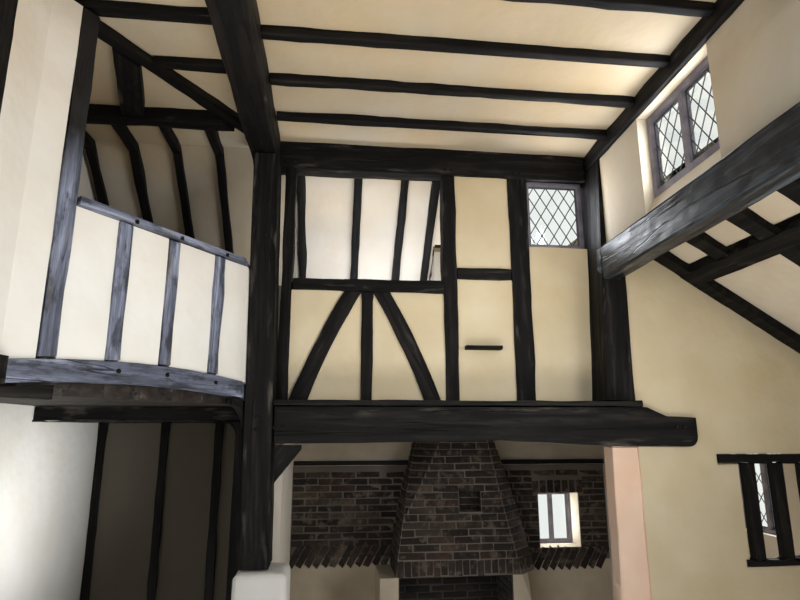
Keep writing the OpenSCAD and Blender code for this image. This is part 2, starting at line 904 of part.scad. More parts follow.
module aisle_frame() {
    x0 = outer_x + aisle_t - stud_in;
    x1 = outer_x + aisle_t + frame_out;
    color("#2b2623") along_x(x0, x1)
        frame_around([aisle_window_y, aisle_window_z], [aisle_window_w, aisle_window_h])
            translate([front_y, 0])
                frame_face(nook_back - front_y, aisle_at(x1), side_studs);
}

module inglenook_ledge() {
    color("#2b2623") block([nook_left, nook_back - 45, ledge_z],
                           [nook_x, nook_back, ledge_z + ledge_h]);
}

// Front elevation of the hood, swelling at its sides
module hood_face() {
    steps = 8;
    right_x = hood_x + hood_w;
    polygon([
        for (i = [0 : steps]) [
            right_x + (hood_top_x + hood_top_w - right_x) * i / steps + hood_swell * bow(i / steps),
            hood_z + hood_taper * i / steps
        ],
        [hood_top_x + hood_top_w, mantel_top], [hood_top_x, mantel_top],
        for (i = [steps : -1 : 0]) [
            hood_x + (hood_top_x - hood_x) * i / steps - hood_swell * bow(i / steps),
            hood_z + hood_taper * i / steps
        ]
    ]);
}

// Side elevation of the hood
module hood_side() {
    steps = 8;
    polygon([
        [nook_back, hood_z],
        for (i = [0 : steps]) [
            hood_front + (hood_d - hood_top_d) * i / steps - hood_swell / 2 * bow(i / steps),
            hood_z + hood_taper * i / steps
        ],
        [hood_top_front, mantel_top], [nook_back, mantel_top]
    ]);
}

// Everything in front of the plane that takes off the hood's right front corner,
// or its left one when mirrored; the cuts are measured at the foot and the mantel
module hood_corner_cut(foot_x, top_x, foot_cut, top_cut) {
    lean = foot_x - hood_front - foot_cut - (top_x - hood_top_front - top_cut);
    translate([foot_x - foot_cut, hood_front, hood_z])
        rotate([0, -atan(lean / hood_taper / sqrt(2)), -45])
            block([0, -far, -far], [far, far, far]);
}

module chimney_hood() {
    niche_x = hood_x + hood_w * niche_at;
    niche_z = hood_z + niche_up;
    color("#57483f") difference() {
        intersection() {
            facing(0, nook_back) hood_face();
            along_x(0, nook_x) hood_side();
        }
        block([niche_x - niche_w / 2, 0, niche_z],
              [niche_x + niche_w / 2, hood_front + niche_d, niche_z + niche_h]);
        flue();
        inglenook_ledge();
        hood_corner_cut(hood_x + hood_w, hood_top_x + hood_top_w, hood_facet, hood_top_facet);
        mirror([1, 0, 0]) hood_corner_cut(-hood_x, -hood_top_x, left_facet, left_top_facet);
    }
}

// Hollow of the hood, open to the hearth
module flue() {
    facing(hood_front + hood_t, nook_back - hood_t) polygon([
        [fire_x + hood_t, hood_z - 1], [fire_x + fire_w - hood_t, hood_z - 1],
        [flue_x + flue_w / 2, hood_z + flue_h], [flue_x - flue_w / 2, hood_z + flue_h]
    ]);
}

module hearth() {
    color("#ded2bb") {
        block([fire_x - cheek_t, hood_front, 0], [fire_x, nook_back, hood_z]);
        difference() {
            block([fire_x + fire_w, hood_front, 0],
                  [fire_x + fire_w + cheek_t, nook_back, hood_z]);
            hood_corner_cut(hood_x + hood_w, hood_top_x + hood_top_w, hood_facet, hood_top_facet);
        }
    }
}

module stack_block(grow = 0, low = mantel_top, high = ceiling_z + stack_up) {
    block([stack_x - grow, hood_top_front - grow, low],
          [stack_x + stack_w + grow, nook_back + grow, high]);
}

module chimney_stack() {
    top = ceiling_z + stack_up;
    color("#6b5347") difference() {
        union() {
            stack_block();
            stack_block(stack_band, top - 3.5 * stack_cap, top - stack_cap);
            stack_block(stack_band / 2, top - stack_cap, top);
        }
        translate([flue_x, nook_back - hood_top_d / 2, top])
            cube([flue_w, flue_w, 4 * flue_w], center = true);
    }
}

module landing_floor() {
    front_left = gallery_pt(gallery_along(left_x, gallery_t), gallery_t);
    right = nook_left - side_t;
    front_right = gallery_pt(gallery_along(right, gallery_t), gallery_t);
    color("#4a3b30") difference() {
        translate([0, 0, mantel_top]) linear_extrude(floor_t) polygon([
            [side_x, front_left.y], front_left, front_right,
            [right, wall_back], [nook_x, wall_back], [nook_x, nook_back], [side_x, nook_back]
        ]);
        right_of_post_low();
        stack_block();
    }
}

// The post's own width in front of the cross wall, to its right
module right_of_post_low() {
    intersection() {
        right_of_post();
        block([-far, -far, 0], [far, wall_y, far]);
    }
}

// Height of the gallery beam's cambered top and soffit at a place along it
function gallery_bow(along) =
    camber * bow((along + gallery_reach) / (gallery_reach + beam_past));
function gallery_top(along) = gallery_z + gallery_beam_h + gallery_bow(along);
function gallery_soffit(along) = gallery_z + gallery_bow(along) * 0.9;
beam_steps = [for (i = [0 : 16])
    -gallery_reach - gallery_end + (gallery_reach + gallery_end + post_d) * i / 16];

module below_gallery_top() {
    polygon([[-far, -far], for (s = beam_steps) [s, gallery_top(s)], [far, -far]]);
}

module above_gallery_soffit() {
    polygon([[far, far], [-far, far], for (s = beam_steps) [s, gallery_soffit(s)]]);
}

module gallery_beam() {
    color("#3a3a42") difference() {
        in_gallery() facing(0, gallery_t) polygon([
            for (s = beam_steps) [s, gallery_soffit(s)],
            for (i = [len(beam_steps) - 1 : -1 : 0]) [beam_steps[i], gallery_top(beam_steps[i])]
        ]);
        right_of_post();
        left_of_hall();
    }
}

module gallery_rail() {
    color("#3a3a42") difference() {
        in_gallery() block([-gallery_len + end_post_w, -handrail_out, handrail_z - handrail_h],
                           [post_d, gallery_t + handrail_out, handrail_z]);
        right_of_post();
    }
}

// Elevation of the gallery's studs between beam and rail
module gallery_stud_faces() {
    for (along = gallery_stud_at)
        translate([-along - gallery_stud_w / 2, gallery_z])
            square([gallery_stud_w, handrail_z - handrail_h - gallery_z]);
}

module gallery_studs() {
    color("#3a3a42") in_gallery() facing(0, gallery_t) difference() {
        gallery_stud_faces();
        below_gallery_top();
    }
}

module gallery_panels() {
    low = handrail_z - handrail_h;
    color("#ece9e2") difference() {
        in_gallery() facing(panel_set, panel_set + gallery_panel_t) difference() {
            union() {
                translate([-gallery_len + end_post_w, gallery_z])
                    square([gallery_len + end_post_w, low - gallery_z]);
                translate([-gallery_len - 2 * gallery_end, gallery_z])
                    square([2 * gallery_end, ceiling_z - gallery_plate_h - gallery_z]);
            }
            below_gallery_top();
            gallery_stud_faces();
        }
        right_of_post();
        left_of_hall();
    }
}

module gallery_post() {
    color("#3a3a42") in_gallery() facing(0, gallery_post_d) difference() {
        translate([-gallery_len, gallery_z])
            square([end_post_w, ceiling_z - gallery_plate_h - gallery_z]);
        below_gallery_top();
    }
}

module gallery_plate() {
    color("#2b2623") difference() {
        in_gallery() block([-gallery_reach - gallery_len, gallery_plate_in,
                            ceiling_z - gallery_plate_h], [gallery_len, plate_back, ceiling_z]);
        left_of_hall();
        principal_side();
    }
}

// Everything right of the principal beam's left side
module principal_side() {
    block([principal_x, -far, 0], [far, far, far]);
}

module gallery_brackets() {
    leg = bracket_leg;
    low = gallery_z - leg - camber * 0.7;
    color("#2b2623") {
        difference() {
            in_gallery() facing(2 * wane, gallery_t - 2 * wane) difference() {
                translate([-leg, low]) square([2 * leg, leg + 2 * camber]);
                translate([-leg, low]) circle(leg + wane, $fn = 64);
                above_gallery_soffit();
            }
            right_of_post();
        }
        difference() {
            in_gallery() facing(wane, gallery_t - wane) difference() {
                translate([-gallery_reach - gallery_len, gallery_z - bracket_h])
                    square([gallery_reach + end_post_w * 1.15, 2 * bracket_h]);
                above_gallery_soffit();
            }
            left_of_hall();
        }
    }
}

module passage_lintel() {
    low = mantel_top - lintel_h;
    right = nook_left - side_t;
    bend = passage_r;
    color("#26221f") facing(wall_y, wall_back) {
        translate([side_x, low]) square([right - side_x, lintel_h]);
        difference() {
            translate([right - jamb_w - bend, 0]) square([jamb_w + bend, low + 1]);
            translate([right - jamb_w - bend - 1, -1]) square([bend + 1, low - bend + 1]);
            translate([right - jamb_w - bend, low - bend]) circle(bend, $fn = 48);
        }
    }
}

module gallery_tie() {
    y0 = wall_y - tie_front;
    color("#2b2623") difference() {
        block([side_x, y0, ceiling_z - tie_h], [far, y0 + tie_w, ceiling_z]);
        principal_side();
        in_gallery() block([-far, -far, 0], [far, plate_back, far]);
    }
}

// Strut flat under the ceiling, from the tie beam to the gallery's top plate
module gallery_strut() {
    run = gallery_len * strut_lean;
    color("#2b2623") difference() {
        translate([left_x - strut_past, wall_y - tie_front, ceiling_z - strut_h])
            linear_extrude(strut_h) polygon([
                [0, 0], [strut_w, 0], [strut_w + run, -gallery_len], [run, -gallery_len]
            ]);
        in_gallery() block([-far, -far, 0], [far, plate_back, far]);
    }
}

module principal_beam() {
    color("#332c28") facing(front_y, wall_y)
        worn([principal_x, soffit_z], [principal_x + principal_w, ceiling_z], 14);
}

module ceiling_joists() {
    z0 = ceiling_z - joist_h;
    count = floor((wall_y - front_y - joist_w) / joist_step);
    color("#2b2623") difference() {
        union() {
            for (i = [1 : count]) {
                y0 = wall_y - i * joist_step;
                along_x(principal_x, range_x + 40)
                    worn([y0, z0], [y0 + joist_w, ceiling_z + 1], 6);
            }
            for (i = [2 : count]) {
                y0 = wall_y - i * joist_step - side_joist_shift;
                along_x(left_x, principal_x)
                    worn([y0, z0], [y0 + side_joist_w, ceiling_z + 1], 6);
            }
        }
        block([-far, -far, ceiling_z], [far, far, far]);
        principal_block();
        wall_plate();
        range_side();
        in_gallery() block([-far, gallery_plate_in, 0], [far, far, far]);
        front_tie();
    }
}

module principal_block() {
    block([principal_x, -far, soffit_z], [principal_x + principal_w, far, far]);
}

// Everything right of the wall plate's left side
module range_side() {
    in_range() block([wall_plate_in, -far, 0], [far, far, far]);
}

module hall_ceiling() {
    right_front_pt = range_pt(range_face, -bay_len);
    right_back_pt = range_pt(range_face, ridge_y - right_front);
    y0 = left_back - side_t;
    color("#e6dac2") translate([0, 0, ceiling_z]) linear_extrude(ceiling_t) polygon([
        [left_x - side_t, front_y], [right_front_pt.x, front_y],
        right_back_pt, [side_x - side_t, ridge_y], [side_x - side_t, y0], [left_x - side_t, y0]
    ]);
}

module wall_plate() {
    color("#2b2623") in_range() facing(-bay_len, wall_back - right_front)
        worn([wall_plate_in, wall_plate_z], [wall_plate_x, ceiling_z], 8);
}

// Opening of the clerestory window with its splayed sill
module clerestory_opening() {
    in_range() facing(-clerestory_gap - clerestory_w, -clerestory_gap) polygon([
        [clerestory_in - 1, arcade_z + arcade_h + 15],
        [clerestory_in + glass_in, clerestory_z], [range_face + 10, clerestory_z],
        [range_face + 10, clerestory_z + clerestory_h],
        [clerestory_in - 1, clerestory_z + clerestory_h]
    ]);
}

module clerestory_wall() {
    color("#ded2bb") difference() {
        in_range() facing(-bay_len, range_past) polygon([
            [clerestory_in, arcade_z + arcade_h], [range_face, arcade_z + arcade_h],
            [range_face, ceiling_z], [wall_plate_x, ceiling_z],
            [wall_plate_x, wall_plate_z], [clerestory_in, wall_plate_z]
        ]);
        clerestory_opening();
        block([0, right_front, 0], [range_x + wall_plate_x, far, far]);
        block([0, right_front, 0], [far, far, wall_plate_z]);
        block([0, -far, soffit_z - front_tie_h], [tie_right, front_y + wall_t, soffit_z]);
    }
}

module arcade_beam() {
    color("#3a3a42") difference() {
        in_range() facing(-bay_len, range_past)
            worn([0, arcade_z], [arcade_w, arcade_z + arcade_h], 16);
        right_post();
    }
}

module arcade_post() {
    color("#2b2623") in_range() facing(-bay_len, -bay_len + arcade_post_d)
        polygon([
            [0, 0], [arcade_w, 0], [arcade_w, arcade_z], [-jowl_w, arcade_z],
            [-jowl_w, arcade_z - jowl_h / 2], [0, arcade_z - jowl_h]
        ]);
}

// Frame with lights of one size, standing in X and Z, from its lower left corner
module window_frame(w, h, bar, lights) {
    step = (w - bar) / lights;
    facing(0, frame_d) difference() {
        square([w, h]);
        for (i = [0 : lights - 1])
            translate([bar + i * step, bar]) square([step - bar, h - 2 * bar]);
    }
}

module window_sheets(w, h, bar, lights) {
    step = (w - bar) / lights;
    for (i = [0 : lights - 1])
        translate([bar + i * step, (frame_d - glass_t) / 2, bar])
            cube([step - bar, glass_t, h - 2 * bar]);
}

module at_hall_window() {
    translate([window_stud_x + window_stud_w, wall_y + 50, window_z]) children();
}

module at_clerestory_window() {
    in_range() translate([clerestory_in + glass_in, -clerestory_gap, clerestory_z])
        rotate([0, 0, -90]) children();
}

module at_small_window() {
    translate([small_x, rear_y - 110, small_z]) children();
}

module at_aisle_window() {
    translate([outer_x + aisle_t - 40, aisle_window_y, aisle_window_z])
        rotate([0, 0, 90]) children();
}

hall_window_w = right_post_x + right_lean * 0.6 - window_stud_x - window_stud_w;

module window_frames() {
    color("#7d7a86") {
        at_hall_window() window_frame(hall_window_w, window_h, hall_bar, 1);
        at_clerestory_window()
            window_frame(clerestory_w, clerestory_h, clerestory_bar, 2);
        at_small_window() window_frame(small_w, small_h, small_bar, 2);
        at_aisle_window() window_frame(aisle_window_w, aisle_window_h, aisle_bar, 2);
    }
}

module window_glass() {
    color("#dfe6e8", 0.5) {
        at_hall_window() window_sheets(hall_window_w, window_h, hall_bar, 1);
        at_clerestory_window()
            window_sheets(clerestory_w, clerestory_h, clerestory_bar, 2);
        at_small_window() window_sheets(small_w, small_h, small_bar, 2);
        at_aisle_window() window_sheets(aisle_window_w, aisle_window_h, aisle_bar, 2);
    }
}

// The aisle's end wall as a whole block under its roof
module aisle_end_block() {
    intersection() {
        block([right_edge, aisle_y, 0], [outer_x, aisle_back, ceiling_z]);
        under_aisle();
    }
}

module aisle_end_wall() {
    x0 = right_edge + hatch_gap;
    color("#d9c9ae") difference() {
        aisle_end_block();
        right_post();
        arcade_beam();
        in_range() block([-far, -far, 0], [range_face, 0, far]);
        facing(mantel_y, wall_back) mantel_outline();
        block([x0, aisle_y - 1, hatch_z], [x0 + hatch_w, aisle_back + 1, hatch_z + hatch_h]);
        hatch_frame();
    }
}

module hatch_frame() {
    x0 = right_edge + hatch_gap;
    low = hatch_z;
    high = hatch_z + hatch_h;
    first = hatch_bar / 2;
    step = (hatch_w - hatch_bar - first) / (hatch_bars - 1);
    color("#26221f") facing(aisle_y - hatch_out, aisle_y - hatch_out + hatch_bar) {
        translate([x0 - hatch_past, high - hatch_head])
            square([hatch_w + hatch_past, hatch_head]);
        translate([x0 - hatch_out, low]) square([hatch_w + hatch_out, hatch_sill]);
        for (i = [0 : hatch_bars - 1])
            translate([x0 + first + i * step, low]) square([hatch_bar, high - low]);
    }
}

// Slab on the aisle roof's slope, from its underside down or up
module aisle_slab(low, high, x0 = aisle_x, x1 = outer_x) {
    polygon([
        [x0, aisle_at(x0) + low], [x1, aisle_at(x1) + low],
        [x1, aisle_at(x1) + high], [x0, aisle_at(x0) + high]
    ]);
}

module aisle_rafters() {
    drop = rafter_h / cos(aisle_slope);
    count = floor((aisle_y - front_y - aisle_rafter_w) / aisle_rafter_step);
    x_purlin = aisle_x + purlin_in;
    color("#26221f") difference() {
        union() {
            for (i = [0 : count]) {
                y1 = aisle_y - i * aisle_rafter_step;
                facing(y1 - aisle_rafter_w, y1)
                    aisle_slab(-drop, 0, aisle_x, i % 2 == 0 ? outer_x : x_purlin + 1);
            }
            facing(front_y, aisle_y) aisle_slab(-drop, 0, x_purlin, x_purlin + purlin_w);
        }
        in_range() block([-far, -far, 0], [range_face, far, far]);
        right_post();
    }
}

module aisle_roof() {
    up = roof_t / cos(aisle_slope);
    color("#8a5a45") difference() {
        facing(front_y, rear_y + verge)
            aisle_slab(0, up, aisle_x - side_t, outer_x + aisle_t + eaves);
        in_range() block([-far, -far, 0], [range_face, wall_back - right_front, far]);
        block([-far, wall_back - wall_t, 0], [aisle_x, far, far]);
    }
}

module aisle_wall() {
    color("#d8cbb4") difference() {
        intersection() {
            block([outer_x, front_y, 0], [outer_x + aisle_t, nook_back, ceiling_z]);
            under_aisle();
        }
        aisle_frame();
        at_aisle_window() translate([0, -aisle_t, 0])
            cube([aisle_window_w, 3 * aisle_t, aisle_window_h]);
    }
}

module left_wall() {
    color("#e9e4da") difference() {
        linear_extrude(ceiling_z) polygon([
            [left_x - side_t, front_y], [left_x, front_y], [left_x, left_back],
            [side_x, left_back], [side_x, left_back - side_t], [left_x - side_t, left_back - side_t]
        ]);
        front_tie();
        left_frame();
    }
}

module gallery_wall() {
    color("#e9e4da") difference() {
        intersection() {
            block([side_x - side_t, left_back - side_t, 0], [side_x, nook_back, ceiling_z]);
            under_rear();
        }
        left_frame();
    }
}

// The wall at the landing's right end, under the edge of the rear roof
module landing_wall() {
    color("#d8cbb4") difference() {
        intersection() {
            block([landing_right - side_t, wall_back, floor_top],
                  [landing_right, nook_back, ceiling_z]);
            under_rear();
        }
        stack_block();
    }
}

// The wall that carries the aisle roof's upper edge behind the cross wall
module aisle_side_wall() {
    color("#d8cbb4") block([aisle_x - side_t, wall_back, floor_top],
                           [aisle_x, nook_back, parapet_z]);
}

module low_roof() {
    up = roof_t / cos(low_slope);
    y0 = wall_y + panel_set + panel_t;
    y1 = rear_y + eaves;
    color("#8a5a45") difference() {
        along_x(landing_right, aisle_x - side_t) polygon([
            [y0, low_at(y0)], [y1, low_at(y1)], [y1, low_at(y1) + up], [y0, low_at(y0) + up]
        ]);
        right_post();
    }
}

module left_wall_timbers() {
    high = gallery_z + stud_w;
    color("#2b2623") difference() {
        union() {
            block([left_x, front_y, gallery_z], [left_x + timber_out, 0, high]);
            block([left_x, left_stud_y, high],
                  [left_x + timber_out, left_stud_y + stud_w, ceiling_z]);
        }
        in_gallery() block([-far, 0, 0], [far, far, far]);
        front_tie();
        ceiling_joists_low();
    }
}

// Band in which the ceiling joists lie
module ceiling_joists_low() {
    block([-far, -far, ceiling_z - joist_h], [far, far, far]);
}

module rear_roof() {
    up = roof_t / cos(rear_slope);
    y1 = rear_y + eaves;
    color("#8a5a45") difference() {
        along_x(side_x - side_t - verge, landing_right + verge) polygon([
            [ridge_y, rear_at(ridge_y)], [y1, rear_at(y1)],
            [y1, rear_at(y1) + up], [ridge_y, rear_at(ridge_y) + up]
        ]);
        stack_block();
    }
}

// Side of a rear rafter, whose head runs on under the ceiling to a given place
module rafter_side(head) {
    drop = rafter_h / cos(rear_slope);
    polygon([
        [head, rear_at(ridge_y) - drop * 0.8], [ridge_y, rear_at(ridge_y) - drop],
        [nook_back, rear_at(nook_back) - drop], [nook_back, rear_at(nook_back)],
        [ridge_y, rear_at(ridge_y)], [head, rear_at(ridge_y)]
    ]);
}

module rear_rafters() {
    over_gallery = floor((gallery_rafter_x - side_x) / gallery_rafter_step);
    color("#2b2623") difference() {
        union() {
            for (x = rafter_at)
                along_x(rafter_x + x, rafter_x + x + rafter_w) rafter_side(ridge_y - 100);
            for (i = [1 : over_gallery]) {
                x0 = gallery_rafter_x - i * gallery_rafter_step;
                along_x(x0, x0 + rafter_w) rafter_side(wall_y - tie_front);
            }
        }
        stack_block();
        gallery_wall();
        landing_wall();
        top_plate();
        gallery_tie();
    }
}

module front_tie() {
    color("#2b2623") along_x(left_x - side_t + stud_in, tie_right)
        worn([front_y, soffit_z - front_tie_h], [front_y + wall_t, soffit_z], 14);
}

module rear_wall_timbers() {
    high = mantel_top - lintel_h;
    color("#26221f") facing(nook_back - timber_out, nook_back) {
        translate([side_x, high]) square([nook_left - side_t - side_x, lintel_h]);
        for (x = [side_x, left_x - rafter_w, rear_stud_x])
            translate([x, 0]) square([rafter_w, high + 1]);
    }
}

central_post();
post_plinth();
mantel_beam();
shelf_board();
mantel_knee_brace();
wall_studs();
wall_braces();
wall_rails();
top_plate();
wall_panels();
wall_ledge();
right_post();
plaster_pier();
inglenook_walls();
rear_wall();
inglenook_ledge();
chimney_hood();
hearth();
chimney_stack();
landing_floor();
gallery_beam();
gallery_rail();
gallery_studs();
gallery_panels();
gallery_post();
gallery_plate();
gallery_brackets();
passage_lintel();
gallery_tie();
gallery_strut();
principal_beam();
ceiling_joists();
hall_ceiling();
wall_plate();
clerestory_wall();
arcade_beam();
arcade_post();
window_frames();
window_glass();
aisle_end_wall();
hatch_frame();
aisle_rafters();
aisle_roof();
aisle_wall();
left_wall();
gallery_wall();
landing_wall();
left_wall_timbers();
rear_wall_timbers();
rear_roof();
rear_rafters();
front_tie();
aisle_side_wall();
low_roof();
rear_frame();
left_frame();
aisle_frame();
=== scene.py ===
# %% [markdown]
# # The open end bay of a half timbered hall
#
# The object is one end of an old hall: a framed wall over a wide hearth, a
# slanting gallery front, a beamed ceiling, a row of high windows and a lean-to
# aisle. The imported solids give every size. Here each piece gets the surface that
# age and hand work give it: hewn oak, trowelled plaster, laid brick, leaded
# glass and clay tiles.

# %% Load the frame
import json
import math
import random
from contextlib import contextmanager

import bpy
import numpy as np
from mathutils import Matrix, Vector


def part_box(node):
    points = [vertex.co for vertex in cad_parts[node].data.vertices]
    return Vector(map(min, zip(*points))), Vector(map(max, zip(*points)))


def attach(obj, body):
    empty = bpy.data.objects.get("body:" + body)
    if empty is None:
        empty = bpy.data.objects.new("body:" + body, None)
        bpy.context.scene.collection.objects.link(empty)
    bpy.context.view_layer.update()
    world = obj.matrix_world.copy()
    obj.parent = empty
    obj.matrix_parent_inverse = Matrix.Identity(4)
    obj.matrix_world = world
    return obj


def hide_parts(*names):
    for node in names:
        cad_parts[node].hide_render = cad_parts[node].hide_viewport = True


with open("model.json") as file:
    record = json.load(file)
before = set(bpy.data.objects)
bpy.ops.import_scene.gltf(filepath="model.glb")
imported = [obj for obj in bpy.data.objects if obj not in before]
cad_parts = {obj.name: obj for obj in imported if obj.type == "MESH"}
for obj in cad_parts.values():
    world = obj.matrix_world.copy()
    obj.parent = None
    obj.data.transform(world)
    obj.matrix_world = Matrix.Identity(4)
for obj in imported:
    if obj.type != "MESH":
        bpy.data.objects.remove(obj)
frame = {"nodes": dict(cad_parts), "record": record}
NODES = frame["nodes"]
SLOT_OF = {s["node"]: s["material_slot"] for s in frame["record"]["subparts"]}
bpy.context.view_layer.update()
X, Y, Z = Vector((1, 0, 0)), Vector((0, 1, 0)), Vector((0, 0, 1))

# %% [markdown]
# ## Colours and nodes
#
# Colours are written as sRGB hex values, as a colour card gives them, and one
# function turns them into the linear values that the renderer works in. One more
# function adds a node. Its sockets are given by name, or as a list in their own
# order: a number or a colour sets a socket, and another node's output is linked
# to it. Sums and noises are needed most, so they have short forms. A material
# ends with its colour and its layers of relief, coarse first.

# %% Colour, node and material helpers
def linear(code):
    parts = [int(code[i:i + 2], 16) / 255 for i in (1, 3, 5)]
    return [p / 12.92 if p <= 0.04045 else ((p + 0.055) / 1.055) ** 2.4 for p in parts] + [1.0]


def add(tree, kind, sockets=(), stops=(), out=0, **settings):
    item = tree.nodes.new("ShaderNode" + kind)
    for key, value in settings.items():
        setattr(item, key, value)
    if not isinstance(sockets, dict):
        sockets = dict(enumerate(sockets))
    for key, value in sockets.items():
        if isinstance(value, bpy.types.NodeSocket):
            tree.links.new(value, item.inputs[key])
        else:
            item.inputs[key].default_value = linear(value) if isinstance(value, str) else value
    for i, (place, code) in enumerate(stops):
        ramp = item.color_ramp.elements
        stop = ramp[i] if i < 2 else ramp.new(place)
        stop.position, stop.color = place, linear(code)
    return item.outputs[out]


def calc(tree, operation, *values):
    return add(tree, "Math", values, operation=operation)


def noise(tree, place, scale, detail, **more):
    return add(tree, "TexNoise", {"Vector": place, "Scale": scale, "Detail": detail, **more})


MATERIALS = {}


def new_material(name, **sockets):
    MATERIALS[name] = made = bpy.data.materials.new(name)
    made.use_nodes = True
    surface = made.node_tree.nodes["Principled BSDF"].inputs
    for key, value in sockets.items():
        surface[key.replace("_", " ")].default_value = value
    return made.node_tree, surface


def cover(tree, surface, colour, layers):
    "Links a colour and layers of relief: height, strength, distance and maybe inwards."
    if colour:
        tree.links.new(colour, surface["Base Color"])
    under = {}
    for height, strength, distance, *inwards in layers:
        relief = add(tree, "Bump", {"Height": height, "Strength": strength,
                                    "Distance": distance, **under}, invert=bool(inwards))
        under = {"Normal": relief}
    tree.links.new(relief, surface["Normal"])


print("sRGB #808080 is", round(linear("#808080")[0], 3), "in linear light")

# %% [markdown]
# ## Hewn oak
#
# The frame is oak, squared with axe and adze, and stained almost black by
# bitumen and smoke. The eye reads three things: long grain along each timber,
# hollows a hand wide left by the tool, and long dry shakes. Straight noise on
# the object's axes would cross every brace, so each timber gets an attribute
# named grain, which holds the place along and across that timber, and one
# material follows the grain of every post, beam and brace.

# %% Shakes and one long split
def shakes(tree, shake, opens):
    "Thin lines where a noise passes its middle value, each closed along half its length."
    shake = calc(tree, "SUBTRACT", shake, 0.5)
    shake = calc(tree, "ABSOLUTE", shake)
    shake = add(tree, "MapRange", [shake, 0.0, 0.009, 1.0, 0.0])
    opens = add(tree, "MapRange", [opens, 0.44, 0.56, 0.0, 1.0])
    return calc(tree, "MULTIPLY", shake, opens)


def long_split(tree, y, z):
    "A split, open 10 mm, that rises to its highest point at y and z and falls again."
    place = add(tree, "TexCoord", out="Object")
    spot = add(tree, "SeparateXYZ", [place]).node.outputs
    along = calc(tree, "SUBTRACT", spot["Y"], y)
    bend = calc(tree, "MULTIPLY", along, along)
    line = calc(tree, "MULTIPLY_ADD", bend, 0.14, spot["Z"])
    wander = noise(tree, place, 7.0, 3.0)
    line = calc(tree, "MULTIPLY_ADD", wander, 0.04, line)
    line = calc(tree, "SUBTRACT", line, z + 0.02)
    line = calc(tree, "ABSOLUTE", line)
    line = add(tree, "MapRange", [line, 0.0035, 0.007, 1.0, 0.0])
    along = calc(tree, "ABSOLUTE", along)
    ends = add(tree, "MapRange", [along, 0.5, 0.72, 1.0, 0.0])
    return calc(tree, "MULTIPLY", line, ends)


# %% Oak material
# noises stretched along the grain: scale along and across, detail, roughness, distortion
GRAIN_NOISES = (
    (1.1, 19, 6.0, 0.6, 0.5),   # growth figure, 30 to 60 mm across and a metre long
    (7, 190, 2.0, 0.5, 0.0),    # open pores, drawn 5 mm apart, real ones are too fine to show
    (0.4, 10, 4.0, 0.4, 0.0),   # shakes
    (2.2, 5, 1.0, 0.5, 0.0),    # where a shake stands open
    (5, 16, 8.0, 0.66, 0.0),    # blots, a hand wide and longer than wide
    (4, 22, 5.0, 0.5, 0.0),     # rubbed patches a span long
)
# the last colour is painted shade, the black of the worn timbers' tops
CRACK_SHADE, RUBBED, TOP_SHADE_BLACK = "#0a0807", "#8a8177", "#14110f"


def oak(name, dark, mid, light, roughness, shine=0.3, shade_heights=None, split=None):
    tree, surface = new_material(name, Roughness=roughness, Specular_IOR_Level=shine)
    grain = add(tree, "Attribute", out="Vector", attribute_name="grain")
    figure, pores, shake, opens, blots, rubbed = [
        noise(tree, add(tree, "Mapping", {"Vector": grain, "Scale": (along, across, across)}),
              1.0, detail, Roughness=rough, Distortion=bent)
        for along, across, detail, rough, bent in GRAIN_NOISES]
    shake = shakes(tree, shake, opens)
    if split:
        shake = calc(tree, "MAXIMUM", shake, long_split(tree, *split))
    # adze hollows about 90 mm wide
    tool_way = add(tree, "Mapping", {"Vector": grain, "Scale": (7, 11, 11)})
    hollow = add(tree, "TexVoronoi", {"Vector": tool_way, "Scale": 1.0, "Smoothness": 0.7},
                 feature="SMOOTH_F1")
    shade = add(tree, "ValToRGB", [figure], [(0.28, dark), (0.72, light), (0.5, mid)])
    fine = add(tree, "MapRange", [pores, 0.35, 0.7, 0.72, 1.12])
    shade = add(tree, "VectorMath", [shade, fine], operation="MULTIPLY")
    # the shakes and the split are coloured near black: painted shade in the cracks
    shade = add(tree, "MixRGB", [shake, shade, CRACK_SHADE])
    # blots where the black stain has held
    held = add(tree, "MapRange", [blots, 0.5, 0.61, 0.0, 0.8])
    shade = add(tree, "MixRGB", [held, shade, dark])
    # arrises rubbed pale by hands and shoulders
    edge = add(tree, "Attribute", out="Fac", attribute_name="edge")
    rubbed = add(tree, "MapRange", [rubbed, 0.56, 0.72, 0.0, 0.3])
    rubbed = calc(tree, "MULTIPLY", rubbed, edge)
    shade = add(tree, "MixRGB", [rubbed, shade, RUBBED])
    if shade_heights:
        # painted shade: above this height the oak is blended to black, as the window light from
        # below falls less on the tops
        place = add(tree, "TexCoord", out="Object")
        height = add(tree, "SeparateXYZ", [place], out="Z")
        top_shade = add(tree, "MapRange", [height, *shade_heights, 0.0, 1.0])
        shade = add(tree, "MixRGB", [top_shade, shade, TOP_SHADE_BLACK])
    # the pale figure is harder, so it is worn smoother
    uneven = add(tree, "MapRange", [figure, 0.3, 0.7, roughness + 0.16, roughness - 0.06])
    tree.links.new(uneven, surface["Roughness"])
    cover(tree, surface, shade, [(hollow, 0.5, 0.012), (figure, 0.6, 0.006),
                                 (pores, 0.4, 0.0015), (shake, 0.9, 0.006, "inwards")])


oak("dark_oak", "#080706", "#100e0d", "#27221e", 0.62, shine=0.14)
# worn oak is pale blue-grey: partly real wear, partly painted sheen of the window light
oak("worn_oak", "#25272d", "#666c7e", "#a8afc4", 0.42, shade_heights=(2.85, 3.2))
# the arcade beam's oak: its lighter blue-grey colours are painted sheen of the window light
oak("painted_sheen_oak", "#0d0f12", "#22262c", "#5b656f", 0.34, split=(-1.27, 2.942))
oak("weathered_oak", "#1d1916", "#322b26", "#544b43", 0.66)
oak("floor_boards", "#15110e", "#261f19", "#3e342b", 0.55)
print("oak:", list(MATERIALS))
